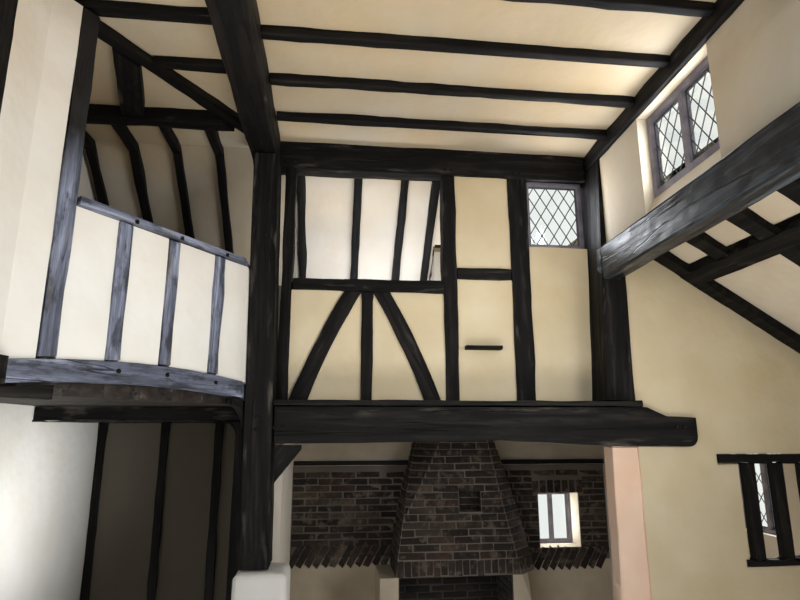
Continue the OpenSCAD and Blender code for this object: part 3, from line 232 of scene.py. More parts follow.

# %% [markdown]
# ## Plaster
#
# The panels are lime plaster on laths, laid on with a wooden float and
# limewashed many times. It is matt, and its face rises and falls a few
# millimetres over a forearm's length. Age gives it a warm stain in clouds, and
# higher up a painted warm shade darkens it.
# A flat colour would look like paper, so four noises carry the trowel's waves,
# the marks of the float, the sand and the clouds of age. The same recipe, darker
# and more stained, is the mortar.

# %% Plaster material
# painted warm shade high up on walls and ceilings: its colour and the heights over which it
# grows
HIGH_SHADE, HIGH_SHADE_FROM, HIGH_SHADE_TO = "#c4a97f", 2.3, 4.0
POST_LEFT, OUTSIDE = 0.1, 1.5      # x of the central post, y behind which a wall is outside


def plaster(name, face, warm, stain, much, outer=None, passage_shade=None):
    tree, surface = new_material(name, Roughness=0.88, Specular_IOR_Level=0.3)
    place = add(tree, "TexCoord", out="Object")
    trowel, float_marks, sand, clouds = [
        noise(tree, place, scale, detail, Distortion=bent)
        for scale, detail, bent in ((2.6, 3.0, 0.0), (17.0, 4.0, 0.6), (210.0, 2.0, 0.0),
                                    (1.1, 5.0, 0.0))]
    tint = add(tree, "ValToRGB", [trowel], [(0.3, face), (0.75, warm)])
    age = add(tree, "MapRange", [clouds, 0.45, 0.8, 0.0, much])
    tint = add(tree, "MixRGB", [age, tint, stain])
    spot = add(tree, "SeparateXYZ", [place]).node.outputs
    # painted warm shade: the plaster gets darker and warmer higher up, broken by the clouds
    height = add(tree, "MapRange", [spot["Z"], HIGH_SHADE_FROM, HIGH_SHADE_TO, 0.0, 1.2])
    high_shade = calc(tree, "MULTIPLY", height, clouds)
    tint = add(tree, "MixRGB", [high_shade, tint, HIGH_SHADE])
    # left of the central post the wall is dark grey, painted shade of the unlit passage, and its
    # outer face is clean
    for code, way, test, limit in ((passage_shade, "X", "LESS_THAN", POST_LEFT),
                                   (outer, "Y", "GREATER_THAN", OUTSIDE)):
        if code:
            side = calc(tree, test, spot[way], limit)
            tint = add(tree, "MixRGB", [side, tint, code])
    cover(tree, surface, tint, [(trowel, 0.7, 0.035), (float_marks, 0.45, 0.004),
                                (sand, 0.35, 0.0008)])


plaster("white_plaster", "#e4e3de", "#dbd8cf", "#c8c1b1", 0.3)
plaster("cream_plaster", "#e4dccd", "#d9cebb", "#bfae96", 0.35)
plaster("warm_plaster", "#dccfb1", "#d0c09b", "#b7a27f", 0.35)
# painted shade: a greyer copy of the plaster, for the clerestory wall and over the gallery
plaster("shade_painted_plaster", "#bab8af", "#aca99e", "#8d877a", 0.4)
plaster("blush_plaster", "#f5d8c0", "#eac6ab", "#bd9a83", 0.4)
# in the passage, left of the central post, the hearth plaster is dark grey: painted shade
plaster("hearth_plaster", "#c9bca4", "#aea18a", "#6d6152", 0.6, outer="#ddd3c2", passage_shade="#5d564b")
plaster("mortar", "#6f665b", "#564d44", "#2f2924", 0.8)
plaster("sooty_plaster", "#4a423a", "#332d28", "#1a1715", 0.8)
print("plaster and mortar:", len(MATERIALS), "materials so far")

# %% [markdown]
# ## Brick and tile
#
# Bricks and tiles are fired clay, and no two come from the kiln alike. One
# material for each colour would be many, so each copy carries a number named
# tone, from 0 to 1, which picks its shade from one ramp. The faces are rough with
# sand from the mould, and soot lies over the bricks in clouds.

# %% Fired clay material
def fired_clay(name, shades, soot, much, grit, smear=None):
    tree, surface = new_material(name, Roughness=0.9, Specular_IOR_Level=0.25)
    tone = add(tree, "Attribute", out="Fac", attribute_name="tone")
    place = add(tree, "TexCoord", out="Object")
    body = add(tree, "ValToRGB", [tone],
               [(0.0, shades[0]), (1.0, shades[-1])]
               + [(i / (len(shades) - 1), s) for i, s in enumerate(shades)][1:-1])
    blotch, clouds, sand = [
        noise(tree, place, scale, detail)
        for scale, detail in ((28.0, 4.0), (3.0, 4.0), (grit, 3.0))]
    light = add(tree, "MapRange", [blotch, 0.3, 0.7, 0.7, 1.25])
    body = add(tree, "VectorMath", [body, light], operation="MULTIPLY")
    dirt = add(tree, "MapRange", [clouds, 0.4, 0.7, 0.0, much])
    body = add(tree, "MixRGB", [dirt, body, soot])
    if smear:
        # mortar dragged over the faces by the trowel, in patches half a brick long
        patch = noise(tree, place, 14.0, 6.0)
        patch = add(tree, "MapRange", [patch, 0.54, 0.68, 0.0, 0.6])
        body = add(tree, "MixRGB", [patch, body, smear])
    cover(tree, surface, body, [(blotch, 0.5, 0.004), (sand, 0.6, 0.0015)])


fired_clay("dark_brick", ["#1d1915", "#2d2722", "#3b332b", "#27231e", "#3a2c24", "#50473b"],
           "#171411", 0.75, 240.0, smear="#665b4d")
fired_clay("soot_brick", ["#161311", "#221d1a", "#2d2622"], "#0b0a09", 0.8, 240.0)
fired_clay("clay_tile", ["#74483a", "#93604b", "#835443", "#a3705a", "#66503f"],
           "#6a6450", 0.5, 260.0)
print("fired clay:", len(MATERIALS), "materials so far")

# %% [markdown]
# ## Paint, lead and glass
#
# Three finishes of the windows. The frames wear lilac grey oil paint, brushed on
# and a little chalky. The strips between the panes are lead, a soft cast metal
# with a dull grey skin, dented by hand. The panes are old cylinder glass: clear,
# faintly green and rippled every few centimetres.

# %% Paint, lead and glass
tree, surface = new_material("painted_frame", Roughness=0.55)
place = add(tree, "TexCoord", out="Object")
brush = noise(tree, place, 60.0, 4.0)
worn = noise(tree, place, 9.0, 4.0)
coat = add(tree, "ValToRGB", [worn], [(0.35, "#5f5b66"), (0.75, "#8b8791"), (0.55, "#77737e")])
cover(tree, surface, coat, [(brush, 0.4, 0.001)])

tree, surface = new_material("lead", Metallic=1.0, Roughness=0.55)
place = add(tree, "TexCoord", out="Object")
dents = noise(tree, place, 130.0, 3.0)
skin = add(tree, "ValToRGB", [dents], [(0.3, "#4b4d50"), (0.75, "#7c7e80")])
cover(tree, surface, skin, [(dents, 0.5, 0.001)])

tree, surface = new_material("leaded_glass", Base_Color=linear("#f1f6f3"), Roughness=0.03,
                             IOR=1.45, Transmission_Weight=1.0)
place = add(tree, "TexCoord", out="Object")
ripple = noise(tree, place, 22.0, 2.0)
cover(tree, surface, None, [(ripple, 0.25, 0.002)])
print(len(MATERIALS), "materials")

# %% [markdown]
# ## The solids that stay
#
# Plain walls, the hearth and the glass already have the right shape, so their
# CAD nodes stay and only change their finish. Most take the material that is
# named after their slot in the record, and a few take a variant of it.

# %% Finish the CAD nodes that stay
# the clerestory wall takes the greyer plaster of painted shade
STAYS_AS = {"chimney_hood": "mortar", "chimney_stack": "mortar",
            "plaster_pier": "blush_plaster", "rear_wall": "hearth_plaster",
            "aisle_end_wall": "warm_plaster", "clerestory_wall": "shade_painted_plaster",
            "hearth": "hearth_plaster"}
for name, item in NODES.items():
    item.data.materials.clear()
    item.data.materials.append(MATERIALS[STAYS_AS.get(name, SLOT_OF[name])])
print("finished", len(NODES), "CAD nodes")

# %% [markdown]
# ## Working on one piece
#
# Operators act on everything that is selected, so each step first selects only
# its own piece. A CAD node is never changed: a copy is merged, because a CAD mesh
# is loose triangles, and its flat faces are joined again into whole faces.

# %% Selection, edit mode and modifiers
def select_only(*items):
    bpy.ops.object.select_all(action="DESELECT")
    for item in items:
        item.select_set(True)
    bpy.context.view_layer.objects.active = items[0]


@contextmanager
def edit_mode(item, chosen=None):
    "Edit mode with all of a piece selected, or only the points or faces that chosen picks."
    select_only(item)
    bpy.ops.object.mode_set(mode="EDIT")
    bpy.ops.mesh.select_all(action="DESELECT" if chosen else "SELECT")
    if chosen:
        bpy.ops.object.mode_set(mode="OBJECT")
        for element in chosen(item.data):
            element.select = True
        bpy.ops.object.mode_set(mode="EDIT")
    yield
    bpy.ops.object.mode_set(mode="OBJECT")


def modified(item, kind, **settings):
    "Gives a piece a modifier with its settings, and applies it."
    select_only(item)
    modifier = item.modifiers.new(kind.lower(), kind)
    for key, value in settings.items():
        setattr(modifier, key, value)
    bpy.ops.object.modifier_apply(modifier=modifier.name)


# %% Copies, parts and finished pieces
def points(item):
    return np.array([v.co for v in item.data.vertices])


def merged_copy(node):
    item = bpy.data.objects.new(node + "_copy", NODES[node].data.copy())
    bpy.context.collection.objects.link(item)
    select_only(item)
    if item.data.has_custom_normals:
        bpy.ops.mesh.customdata_custom_splitnormals_clear()
    with edit_mode(item):
        bpy.ops.mesh.remove_doubles(threshold=0.00003)
        bpy.ops.mesh.dissolve_limited(angle_limit=math.radians(0.4))
    return item


def loose_parts(item):
    with edit_mode(item):
        bpy.ops.mesh.separate(type="LOOSE")
    return list(bpy.context.selected_objects)


def joined(parts, name):
    select_only(*parts)
    if len(parts) > 1:
        bpy.ops.object.join()
    item = bpy.context.active_object
    item.name = item.data.name = name
    return item


def finish_piece(item, material, angle=40, nodes=()):
    item.data.materials.clear()
    item.data.materials.append(MATERIALS[material])
    select_only(item)
    bpy.ops.object.shade_smooth_by_angle(angle=math.radians(angle))
    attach(item, "root")
    if nodes:
        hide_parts(*nodes)
    return item


print("ready to work on", len(NODES), "nodes, one at a time")

# %% [markdown]
# ## Hewing a timber
#
# A timber from the CAD is a clean prism. It is parted where two timbers meet,
# cut into short bays along its length, bevelled along its worn arrises, and then
# moved a few millimetres in and out by a slow noise, as a hewn face wanders. The
# face really moves, so the edge of a beam wavers against the plaster too, which
# bump alone can't do. The timbers at the outside only move inwards, so that the
# house keeps its size.

# %% Axes and joints
HEWING = bpy.data.textures.new("hewing", "CLOUDS")
HEWING.noise_scale = 0.32
HEWING.noise_depth = 2
rng = random.Random(7)


def beam_axes(item):
    "Directions along a timber and across it, from its longest edge or its spread."
    spots, mesh = points(item), item.data
    long_way = Vector(np.linalg.eigh(np.cov((spots - spots.mean(0)).T))[1][:, 2])
    edge = max((mesh.vertices[e.vertices[1]].co - mesh.vertices[e.vertices[0]].co
                for e in mesh.edges), key=lambda v: v.length).normalized()
    if abs(edge.dot(long_way)) > 0.96:
        long_way = edge
    sides = [p for p in mesh.polygons if abs(p.normal.dot(long_way)) < 0.3]
    side = max(sides, key=lambda p: p.area).normal
    side = (side - long_way * side.dot(long_way)).normalized()
    return long_way, side, long_way.cross(side)


def part_at(parts, co, normal):
    "Cuts closed parts at a plane and closes both halves, as at a joint."
    done = []
    for part in parts:
        other = part.copy()
        other.data = part.data.copy()
        bpy.context.collection.objects.link(other)
        for half, keep in ((part, "clear_outer"), (other, "clear_inner")):
            with edit_mode(half):
                bpy.ops.mesh.bisect(plane_co=co, plane_no=normal, use_fill=True, **{keep: True})
            if half.data.polygons:
                done.append(half)
            else:
                bpy.data.objects.remove(half)
    return done


# %% Bays, wear and grain
LOOSE_BAY = 0.2     # how far a cut strays, as a share of its bay


def cut_bays(part, axes, steps):
    "Cuts a part across each axis into uneven bays of about the given steps."
    spots = points(part)
    with edit_mode(part):
        for axis, step in zip(axes, steps):
            reach = spots @ np.array(axis)
            low, span = reach.min(), reach.max() - reach.min()
            bays = max(1, round(span / step))
            for i in range(1, bays):
                at = low + span * (i + rng.uniform(-LOOSE_BAY, LOOSE_BAY)) / bays
                bpy.ops.mesh.select_all(action="SELECT")
                bpy.ops.mesh.bisect(plane_co=axis * at, plane_no=axis)


def wear(part, depth, arris, swell):
    "Rounds the arrises, and moves the faces by up to depth without going below ground."
    modified(part, "BEVEL", width=arris, segments=2, limit_method="ANGLE",
             angle_limit=math.radians(35))
    modified(part, "DISPLACE", texture=HEWING, texture_coords="GLOBAL", strength=-depth,
             mid_level=swell)
    for v in part.data.vertices:
        v.co.z = max(v.co.z, 0.0)


def mark_grain(part, axes):
    "Gives each point its place along and across the timber, and marks the arrises."
    spots = points(part)
    turned = (spots - spots.mean(0)) @ np.array([list(a) for a in axes]).T
    middle, half = (turned.max(0) + turned.min(0)) / 2, (turned.max(0) - turned.min(0)) / 2
    outer = np.abs(turned - middle) > 0.84 * half
    attributes = part.data.attributes
    attributes.new("edge", "FLOAT", "POINT").data.foreach_set(
        "value", (outer[:, 1] & outer[:, 2]).astype(np.float32))
    turned += np.array([rng.uniform(-40, 40) for _ in range(3)])
    attributes.new("grain", "FLOAT_VECTOR", "POINT").data.foreach_set(
        "vector", turned.ravel().astype(np.float32))


def hewn(node, joints=(), depth=0.013, arris=0.006, step=0.11, swell=0.0):
    parts = [merged_copy(node)]
    for co, normal in joints:
        parts = part_at(parts, co, normal)
    parts = [p for part in parts for p in loose_parts(part)]
    for part in parts:
        axes = beam_axes(part)
        cut_bays(part, axes, (step, 0.07, 0.07))
        wear(part, depth, arris, swell)
        mark_grain(part, axes)
    slot = SLOT_OF[node]
    return finish_piece(joined(parts, node + "_hewn"), HEWN_AS.get(node, slot),
                        nodes=[node])


# %% Hew the frame
# the arcade beam takes the oak with painted sheen
HEWN_AS = {"arcade_beam": "painted_sheen_oak"}
OUTER_JOINTS = [((0, 0, z), Z) for z in (0.130, 1.800, 1.930)]
JOINTS = {
    "wall_rails": [((0, 0, 2.730), Z)],
    "passage_lintel": [((0, 0, 1.760), Z)],
    "rear_wall_timbers": [((0, 0, 1.760), Z)],
    "left_wall_timbers": [((0, 0, 2.015), Z)],
    "rear_rafters": [((0, 0.320, 0), Y)],
    "hatch_frame": [((0, 0, 0.788), Z), ((0, 0, 1.455), Z)],
    "aisle_rafters": [((3.160, 0, 0), X), ((3.280, 0, 0), X)],
    "rear_frame": OUTER_JOINTS, "left_frame": OUTER_JOINTS, "aisle_frame": OUTER_JOINTS,
}
WAVY = ("ceiling_joists", "wall_studs", "wall_braces", "gallery_studs", "rear_rafters",
        "aisle_rafters", "principal_beam", "top_plate", "wall_rails", "gallery_tie",
        "gallery_strut", "gallery_plate", "wall_plate", "rear_wall_timbers", "shelf_board")
OAK_SLOTS = ("dark_oak", "worn_oak", "weathered_oak")
HEWN = {}
for name in sorted(n for n, slot in SLOT_OF.items() if slot in OAK_SLOTS):
    joints = JOINTS.get(name, ())
    if joints is OUTER_JOINTS:
        HEWN[name] = hewn(name, joints, depth=0.005, step=0.3)
    elif name in WAVY:
        HEWN[name] = hewn(name, joints, depth=0.026, swell=0.42)
    else:
        HEWN[name] = hewn(name, joints, depth=0.014)
print("hewn:", len(HEWN), "nodes,", sum(len(p.data.polygons) for p in HEWN.values()), "faces")

# %% [markdown]
# ## Trowelled panels
#
# A panel is laid flush with a float and dries a little proud in its middle. The
# copies of the panels, the plinth and the pier are cut into hand-sized bays and
# swell by a few millimetres, so that they also close the joint beside a timber
# that has shrunk. The plinth and the pier only move inwards.

# %% Panels, plinth and pier
SWELL = bpy.data.textures.new("swell", "CLOUDS")
SWELL.noise_scale = 0.35
SWELL.noise_depth = 2
HAND = 0.12     # the size of a bay that one stroke of the float covers


def trowelled(node, material, swell, arris):
    parts = loose_parts(merged_copy(node))
    for part in parts:
        cut_bays(part, (X, Y, Z), (HAND, HAND, HAND))
        if arris:
            modified(part, "BEVEL", width=arris, segments=3, limit_method="ANGLE",
                     angle_limit=math.radians(50))
        modified(part, "DISPLACE", texture=SWELL, texture_coords="GLOBAL", strength=swell,
                 mid_level=0.0)
    finish_piece(joined(parts, node + "_trowelled"), material, angle=50,
                 nodes=[node])


trowelled("wall_panels", "warm_plaster", 0.010, 0)
trowelled("gallery_panels", "white_plaster", 0.008, 0)
trowelled("post_plinth", "white_plaster", -0.012, 0.012)
trowelled("plaster_pier", "blush_plaster", -0.016, 0.02)
print("trowelled four nodes")

# %% [markdown]
# ## Laying copies
#
# Bricks, tiles, boards, lead bars and pegs repeat. A few of each kind are
# modelled, and each copy gets its own mesh, its own place and its own tone. The
# copies are then joined, so that a wall of bricks is one piece. An array would
# make every brick alike, and no bricklayer can.

# %% Masters and copies
def laid(name, masters, places, material):
    copies = []
    for place in places:
        mesh = rng.choice(masters).data.copy()
        mesh.transform(place)
        mesh.attributes.new("tone", "FLOAT", "POINT").data.foreach_set(
            "value", [rng.random()] * len(mesh.vertices))
        copies.append(bpy.data.objects.new(name, mesh))
        bpy.context.collection.objects.link(copies[-1])
    piece = finish_piece(joined(copies, name), material)
    for master in masters:
        bpy.data.objects.remove(master)
    print(name, len(places), "copies,", len(piece.data.polygons), "faces")
    return piece


def primitive(kind, **settings):
    bpy.ops.object.select_all(action="DESELECT")
    kind(**settings)
    return bpy.context.active_object


def block_master(size, arris, seed, wobble):
    """A small block with soft edges, made uneven."""
    item = primitive(bpy.ops.mesh.primitive_cube_add, size=1)
    item.scale = size
    bpy.ops.object.transform_apply(location=False, rotation=False, scale=True)
    with edit_mode(item):
        bpy.ops.mesh.bevel(offset=arris, segments=1, affect="EDGES")
        bpy.ops.mesh.select_all(action="SELECT")
        bpy.ops.transform.vertex_random(offset=wobble, seed=seed)
    return item


# %% Places
def axes_turn(x, y, z):
    "Matrix that turns the axes to three given directions."
    return Matrix((x, y, z)).transposed().to_4x4()


def placed(centre, along, out, stretch=(1, 1, 1), sway=0.02):
    "Matrix with X along, Y out of the wall and Z near upright, and a little unevenness."
    along, out = Vector(along).normalized(), Vector(out).normalized()
    up = along.cross(out)
    if up.z < 0:
        along, up = -along, -up
    loose = Matrix.Rotation(rng.uniform(-sway, sway), 4, "Y")
    loose @= Matrix.Rotation(rng.uniform(-sway, sway), 4, "Z")
    centre = Vector(centre) + (out * rng.uniform(-1, 1) + up * rng.uniform(-1, 1)) * sway * 0.12
    return (Matrix.Translation(centre) @ axes_turn(along, out, up) @ loose
            @ Matrix.Diagonal((*stretch, 1)))


# %% [markdown]
# ## Brickwork of the hood and the stack
#
# The hood is the piece that took most skill: its sides swell and lean in, one
# front corner is splayed from the foot up and the other fades in half way. The
# bricks follow it course by course. At each height the solid is cut level, which
# gives the outline of that course, and bricks are laid along every side of it
# that doesn't lie against the wall. The solid behind them is the mortar.

# %% The outline of a solid at one height
def outline_at(item, z):
    item.data.calc_loop_triangles()
    spots = points(item)
    while np.abs(spots[:, 2] - z).min() < 0.002:
        z += 0.003
    # each triangle that crosses the height gives one step, from its start to its end
    follow = {}
    for tri in item.data.loop_triangles:
        corner = spots[list(tri.vertices)]
        over = corner[:, 2] > z
        if over.all() or not over.any():
            continue
        ends = []
        for a, b in ((0, 1), (1, 2), (2, 0)):
            if over[a] != over[b]:
                t = (z - corner[a, 2]) / (corner[b, 2] - corner[a, 2])
                spot = corner[a] + t * (corner[b] - corner[a])
                ends.append((not over[a], tuple(np.round(spot[:2], 5))))
        ends.sort()
        follow.setdefault(ends[0][1], []).append(ends[1][1])
    loops = []
    while follow:
        first = at = next(iter(follow))
        loop = [first]
        while at in follow:
            step = follow[at].pop()
            if not follow[at]:
                del follow[at]
            at = step
            if at == first:
                break
            loop.append(at)
        loops.append(loop)
    # the widest loop is the outside, and only its real corners count
    loop = max(loops, key=lambda p: max(q[0] for q in p) - min(q[0] for q in p))
    loop = [Vector(spot) for spot in loop]
    corners = []
    for before, spot, after in zip(loop[-1:] + loop, loop, loop[1:] + loop[:1]):
        a, b = spot - before, after - spot
        if a.length > 1e-4 and b.length > 1e-4 and abs(a.angle_signed(b)) > math.radians(2):
            corners.append(spot)
    return corners


def sides_of(corners):
    return list(zip(corners, corners[1:] + corners[:1]))


# %% One course of bricks round a solid
BRICK_L, BRICK_H, BRICK_D = 0.214, 0.050, 0.05
PITCH, COURSE = BRICK_L + 0.012, 0.058     # a brick with its joint, along and up
JOINT, PROUD = 0.010, 0.007                # between bricks, and before the solid
SHORTEST_SIDE, SHORTEST_BRICK = 0.03, 0.02


def sized(length, height=BRICK_H):
    "How far a brick is stretched along, out and up to get another length and height."
    return length / BRICK_L, 1, height / BRICK_H


def course(solid, z, shift, wall_y, proud=PROUD):
    "Places of the bricks of one course around a solid, up to the wall behind it."
    places = []
    corners = outline_at(solid, z)
    inside = sum(corners, Vector((0, 0))) / len(corners)
    for a, b in sides_of(corners):
        run = b - a
        middle = (a + b) / 2
        if run.length < SHORTEST_SIDE or min(a.y, b.y) > wall_y:
            continue
        out = Vector((run.y, -run.x, 0)).normalized()
        normal = solid.closest_point_on_mesh(Vector((*middle, z)) + out * 0.002)[2]
        if abs(normal.dot(out)) < 0.6:
            normal = out * (1 if out.to_2d().dot(middle - inside) > 0 else -1)
        count = max(1, round(run.length / PITCH))
        joints = [0.0, 1.0]
        if count > 1:
            first = (0.5 if shift else 1.0) * PITCH / run.length
            joints = [0.0] + [first + k * PITCH / run.length for k in range(count + 1)]
            joints = [t for t in joints if t < 1 - 0.3 * PITCH / run.length] + [1.0]
        for t0, t1 in zip(joints, joints[1:]):
            spot = a + run * (t0 + t1) / 2
            length = run.length * (t1 - t0) - JOINT
            if length >= SHORTEST_BRICK:
                centre = Vector((*spot, z)) + normal * (proud - BRICK_D / 2)
                places.append(placed(centre, (*run, 0), normal, sized(length)))
    return places


def courses(solid, low, high, wall_y, **settings):
    "Places of all courses between two heights, every second one shifted by half a brick."
    places, z, row = [], low, 0
    while z < high:
        places += course(solid, z, row % 2, wall_y, **settings)
        z, row = z + COURSE, row + 1
    return places


def brick_masters():
    return [block_master((BRICK_L, BRICK_D, BRICK_H), 0.005, k, 0.0038) for k in range(8)]


print("a course is", COURSE, "m high and a brick takes", round(PITCH, 3), "m")

# %% Lay the hood
HOOD_MIDDLE = Vector((1.6, 1.15))
SOLDIER_PITCH, SOLDIER_H, SOLDIER_JOINT = 0.062, 0.118, 0.009
SOLDIER_MIDDLE, FIRST_BED = 0.061, 0.128     # above the hood's lower edge
hood = NODES["chimney_hood"]
low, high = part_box("chimney_hood")
nook_back = high.y
wall_y = nook_back - 0.02     # a side with both ends behind this lies against the wall
places = []
# the lowest course stands on end, as soldiers over the fire
for a, b in sides_of(outline_at(hood, low.z + 0.06)):
    run = b - a
    if min(a.y, b.y) > wall_y or run.length < 0.05:
        continue
    out = Vector((run.y, -run.x, 0)).normalized()
    if out.to_2d().dot((a + b) / 2 - HOOD_MIDDLE) < 0:
        out = -out
    count = max(1, round(run.length / SOLDIER_PITCH))
    for k in range(count):
        spot = a + run * (k + 0.5) / count
        centre = Vector((*spot, low.z + SOLDIER_MIDDLE)) + out * (PROUD - BRICK_D / 2)
        size = sized(run.length / count - SOLDIER_JOINT, SOLDIER_H)
        places.append(placed(centre, (*run, 0), out, size))
places += courses(hood, low.z + FIRST_BED + COURSE / 2, high.z - 0.03, wall_y)
laid("hood_bricks", brick_masters(), places, "dark_brick")

# %% [markdown]
# ## The stack
#
# Over the roof the stack is bare brick. Inside, on the landing, it is plastered.
# So the bricks are kept where they stand clear of the roof's slope, and the solid
# is copied and cut along that slope: above it the copy is the mortar between the
# bricks, and below it is white plaster.

# %% The slope of a roof
def slope_of(roof):
    "The slope's directions, a point on it, and how far it reaches across and down."
    face = max((p for p in roof.data.polygons if p.normal.z > 0.5), key=lambda p: p.area)
    up = face.normal
    down = (-Z + up * up.z).normalized()
    across = up.cross(down)
    spots = [roof.data.vertices[i].co for p in roof.data.polygons
             if p.normal.dot(up) > 0.999 for i in p.vertices]
    reach = [f(s.dot(way) for s in spots) for way in (across, down) for f in (min, max)]
    return up, down, across, up * spots[0].dot(up), reach


# %% Lay the stack
ROOF_THICK, UNDER_ROOF, NO_WALL = 0.09, 0.05, 99
stack = NODES["chimney_stack"]
low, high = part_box("chimney_stack")
roof_up, _, _, roof_base, _ = slope_of(NODES["rear_roof"])
places = courses(stack, low.z + 0.02, high.z - 0.036, NO_WALL, proud=0.006)
over_roof = [p for p in places if (p.translation - roof_base).dot(roof_up) > -UNDER_ROOF]
laid("stack_bricks", brick_masters(), over_roof, "dark_brick")
core = merged_copy("chimney_stack")
with edit_mode(core):
    bpy.ops.mesh.bisect(plane_co=roof_base - roof_up * ROOF_THICK, plane_no=roof_up)
finish_piece(core, "mortar", nodes=["chimney_stack"])
core.name = "stack_core"
core.data.materials.append(MATERIALS["white_plaster"])
for p in core.data.polygons:
    p.material_index = 1 if (p.center - roof_base).dot(roof_up) < -ROOF_THICK else 0

# %% [markdown]
# ## The inglenook's back wall
#
# The wall is brick from knee height up to the timber ledge, with soldiers over
# the small window. The lowest course leans like a row of books, so that its
# lower edge is a saw-tooth above the plaster. The bricks are laid row by row in
# what the hood and the window leave free, and a thin bed of mortar lies behind.

# %% Rows and beds on a flat wall
def brick_row(start, way, out, length, shift, joint, gap, least=0.0):
    "Places of a row of bricks. A rest shorter than least goes into the last brick."
    places, at, size = [], 0.0, (BRICK_L + joint) * shift
    while at < length - SHORTEST_SIDE:
        end = min(at + size, length)
        if length - end < least:
            end = length
        centre = start + way * (at + end) / 2 - out * (BRICK_D / 2)
        places.append(placed(centre, way, out, sized(end - at - gap)))
        at, size = end, BRICK_L + joint
    return places


def bed(x0, x1, z0, z1):
    return placed(((x0 + x1) / 2, nook_back - 0.004, (z0 + z1) / 2), X, -Y,
                  (x1 - x0, 0.008, z1 - z0), sway=0)


def lay_beds(name, beds, material):
    laid(name, [block_master((1, 1, 1), 0.002, 1, 0.0)], beds, material)


# %% What is free of the wall at a height
left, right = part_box("inglenook_walls")[0].x + 0.15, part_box("inglenook_ledge")[1].x
ledge_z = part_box("inglenook_ledge")[0].z
WINDOW_L, WINDOW_R, WINDOW_FOOT, WINDOW_HEAD = 2.400, 2.790, 0.637, 1.115
SOLDIER_ROOM = 0.13     # height of the soldiers over the window
HOOD_FOOT = 0.54        # height of the hood's lower edge


def free_runs(z):
    "From where to where the wall is free of the hood and the window."
    spots = [c.x for c in outline_at(hood, max(z, HOOD_FOOT))]
    holes = [(min(spots), max(spots))]
    if WINDOW_FOOT - 0.03 < z < WINDOW_HEAD + SOLDIER_ROOM:
        grow = 0.045 if z > WINDOW_HEAD else 0.0
        holes.append((WINDOW_L - grow, WINDOW_R + grow))
    runs, start = [], left
    for a, b in sorted(holes) + [(right, right)]:
        if a - start > 0.04:
            runs.append((start, a))
        start = max(start, b)
    return runs


print("free at 1 m:", [[round(x, 2) for x in run] for run in free_runs(1.0)])

# %% Lay the back wall
FACE = nook_back - 0.012
foot = 0.70             # lowest course left of the hood
low_foot = foot - 0.07  # and right of it, lower by the height of a brick
BED_DROP = 0.1          # the mortar also backs the leaning bricks below
hood_right = WINDOW_L - 0.3
LEANING_PITCH, LEANING = 0.074, Vector((0.5, 0, 0.87))
places = []
z, row = low_foot + COURSE / 2, 0
while z < ledge_z - 0.02:
    for x0, x1 in free_runs(z):
        if z >= foot or x1 >= hood_right:
            places += brick_row(Vector((x0, FACE, z)), X, -Y, x1 - x0, 0.5 if row % 2 else 1.0,
                                0.012, 0.011, least=0.06)
    z, row = z + COURSE, row + 1
# soldiers over the window
for k in range(7):
    x = WINDOW_L - 0.02 + 0.0715 * k
    places.append(placed((x, FACE + BRICK_D / 2, WINDOW_HEAD + 0.062), X, -Y,
                         sized(0.058, 0.112)))
# leaning bricks below, except behind the hood
behind = [c.x for c in outline_at(hood, 0.55)]
x = left + 0.05
while x < right:
    if not min(behind) + 0.02 < x < max(behind) - 0.02:
        top = foot if x < hood_right else low_foot
        centre = (x, nook_back - 0.016 + BRICK_D / 2, top - 0.085)
        places.append(placed(centre, LEANING.cross(Y), -Y, sized(0.054, 0.2)))
    x += LEANING_PITCH
laid("back_wall_bricks", brick_masters(), places, "dark_brick")
lay_beds("back_wall_mortar", [
    bed(left, hood_right, foot - BED_DROP, ledge_z),
    bed(hood_right, WINDOW_L, low_foot - BED_DROP, ledge_z),
    bed(WINDOW_L, WINDOW_R, WINDOW_HEAD, ledge_z),
    bed(WINDOW_L, WINDOW_R, low_foot - BED_DROP, WINDOW_FOOT),
    bed(WINDOW_R, right, low_foot - BED_DROP, ledge_z)], "mortar")

# %% [markdown]
# ## The fireback
#
# The wall behind the fire and the inner faces of the two cheeks are lined with
# bricks, black with soot. They are what makes the opening under the hood dark,
# so real bricks in a dark material do it, and no light has to be left out.

# %% Line the fire
INNER_L, INNER_R, CHEEK_FRONT = 1.032, 1.980, 0.87
CHEEK_ROWS_TO = 0.5     # the hood's foot hides the cheeks above this height
OFF_CHEEK, CHEEK_RUN = 0.012, nook_back - 0.88
places = []
for row in range(15):
    z = 0.034 + row * COURSE
    for start, way, out, length in (
            (Vector((INNER_L, FACE, z)), X, -Y, INNER_R - INNER_L),
            (Vector((INNER_L + OFF_CHEEK, CHEEK_FRONT, z)), Y, X, CHEEK_RUN),
            (Vector((INNER_R - OFF_CHEEK, CHEEK_FRONT, z)), Y, -X, CHEEK_RUN)):
        if z <= CHEEK_ROWS_TO or out == -Y:
            places += brick_row(start, way, out, length, 0.5 if row % 2 else 1.0, JOINT, JOINT)
laid("fireback_bricks", brick_masters(), places, "soot_brick")
deep, mid = nook_back - 0.85, (0.85 + nook_back) / 2
lay_beds("fireback_mortar", [
    placed(((INNER_L + INNER_R) / 2, nook_back - 0.004, 0.46), X, -Y,
           (INNER_R - INNER_L, 0.006, 0.90), sway=0),
    placed((INNER_L + 0.004, mid, 0.265), Y, X, (deep, 0.006, 0.53), sway=0),
    placed((INNER_R - 0.004, mid, 0.265), Y, -X, (deep, 0.006, 0.53), sway=0)],
    "sooty_plaster")

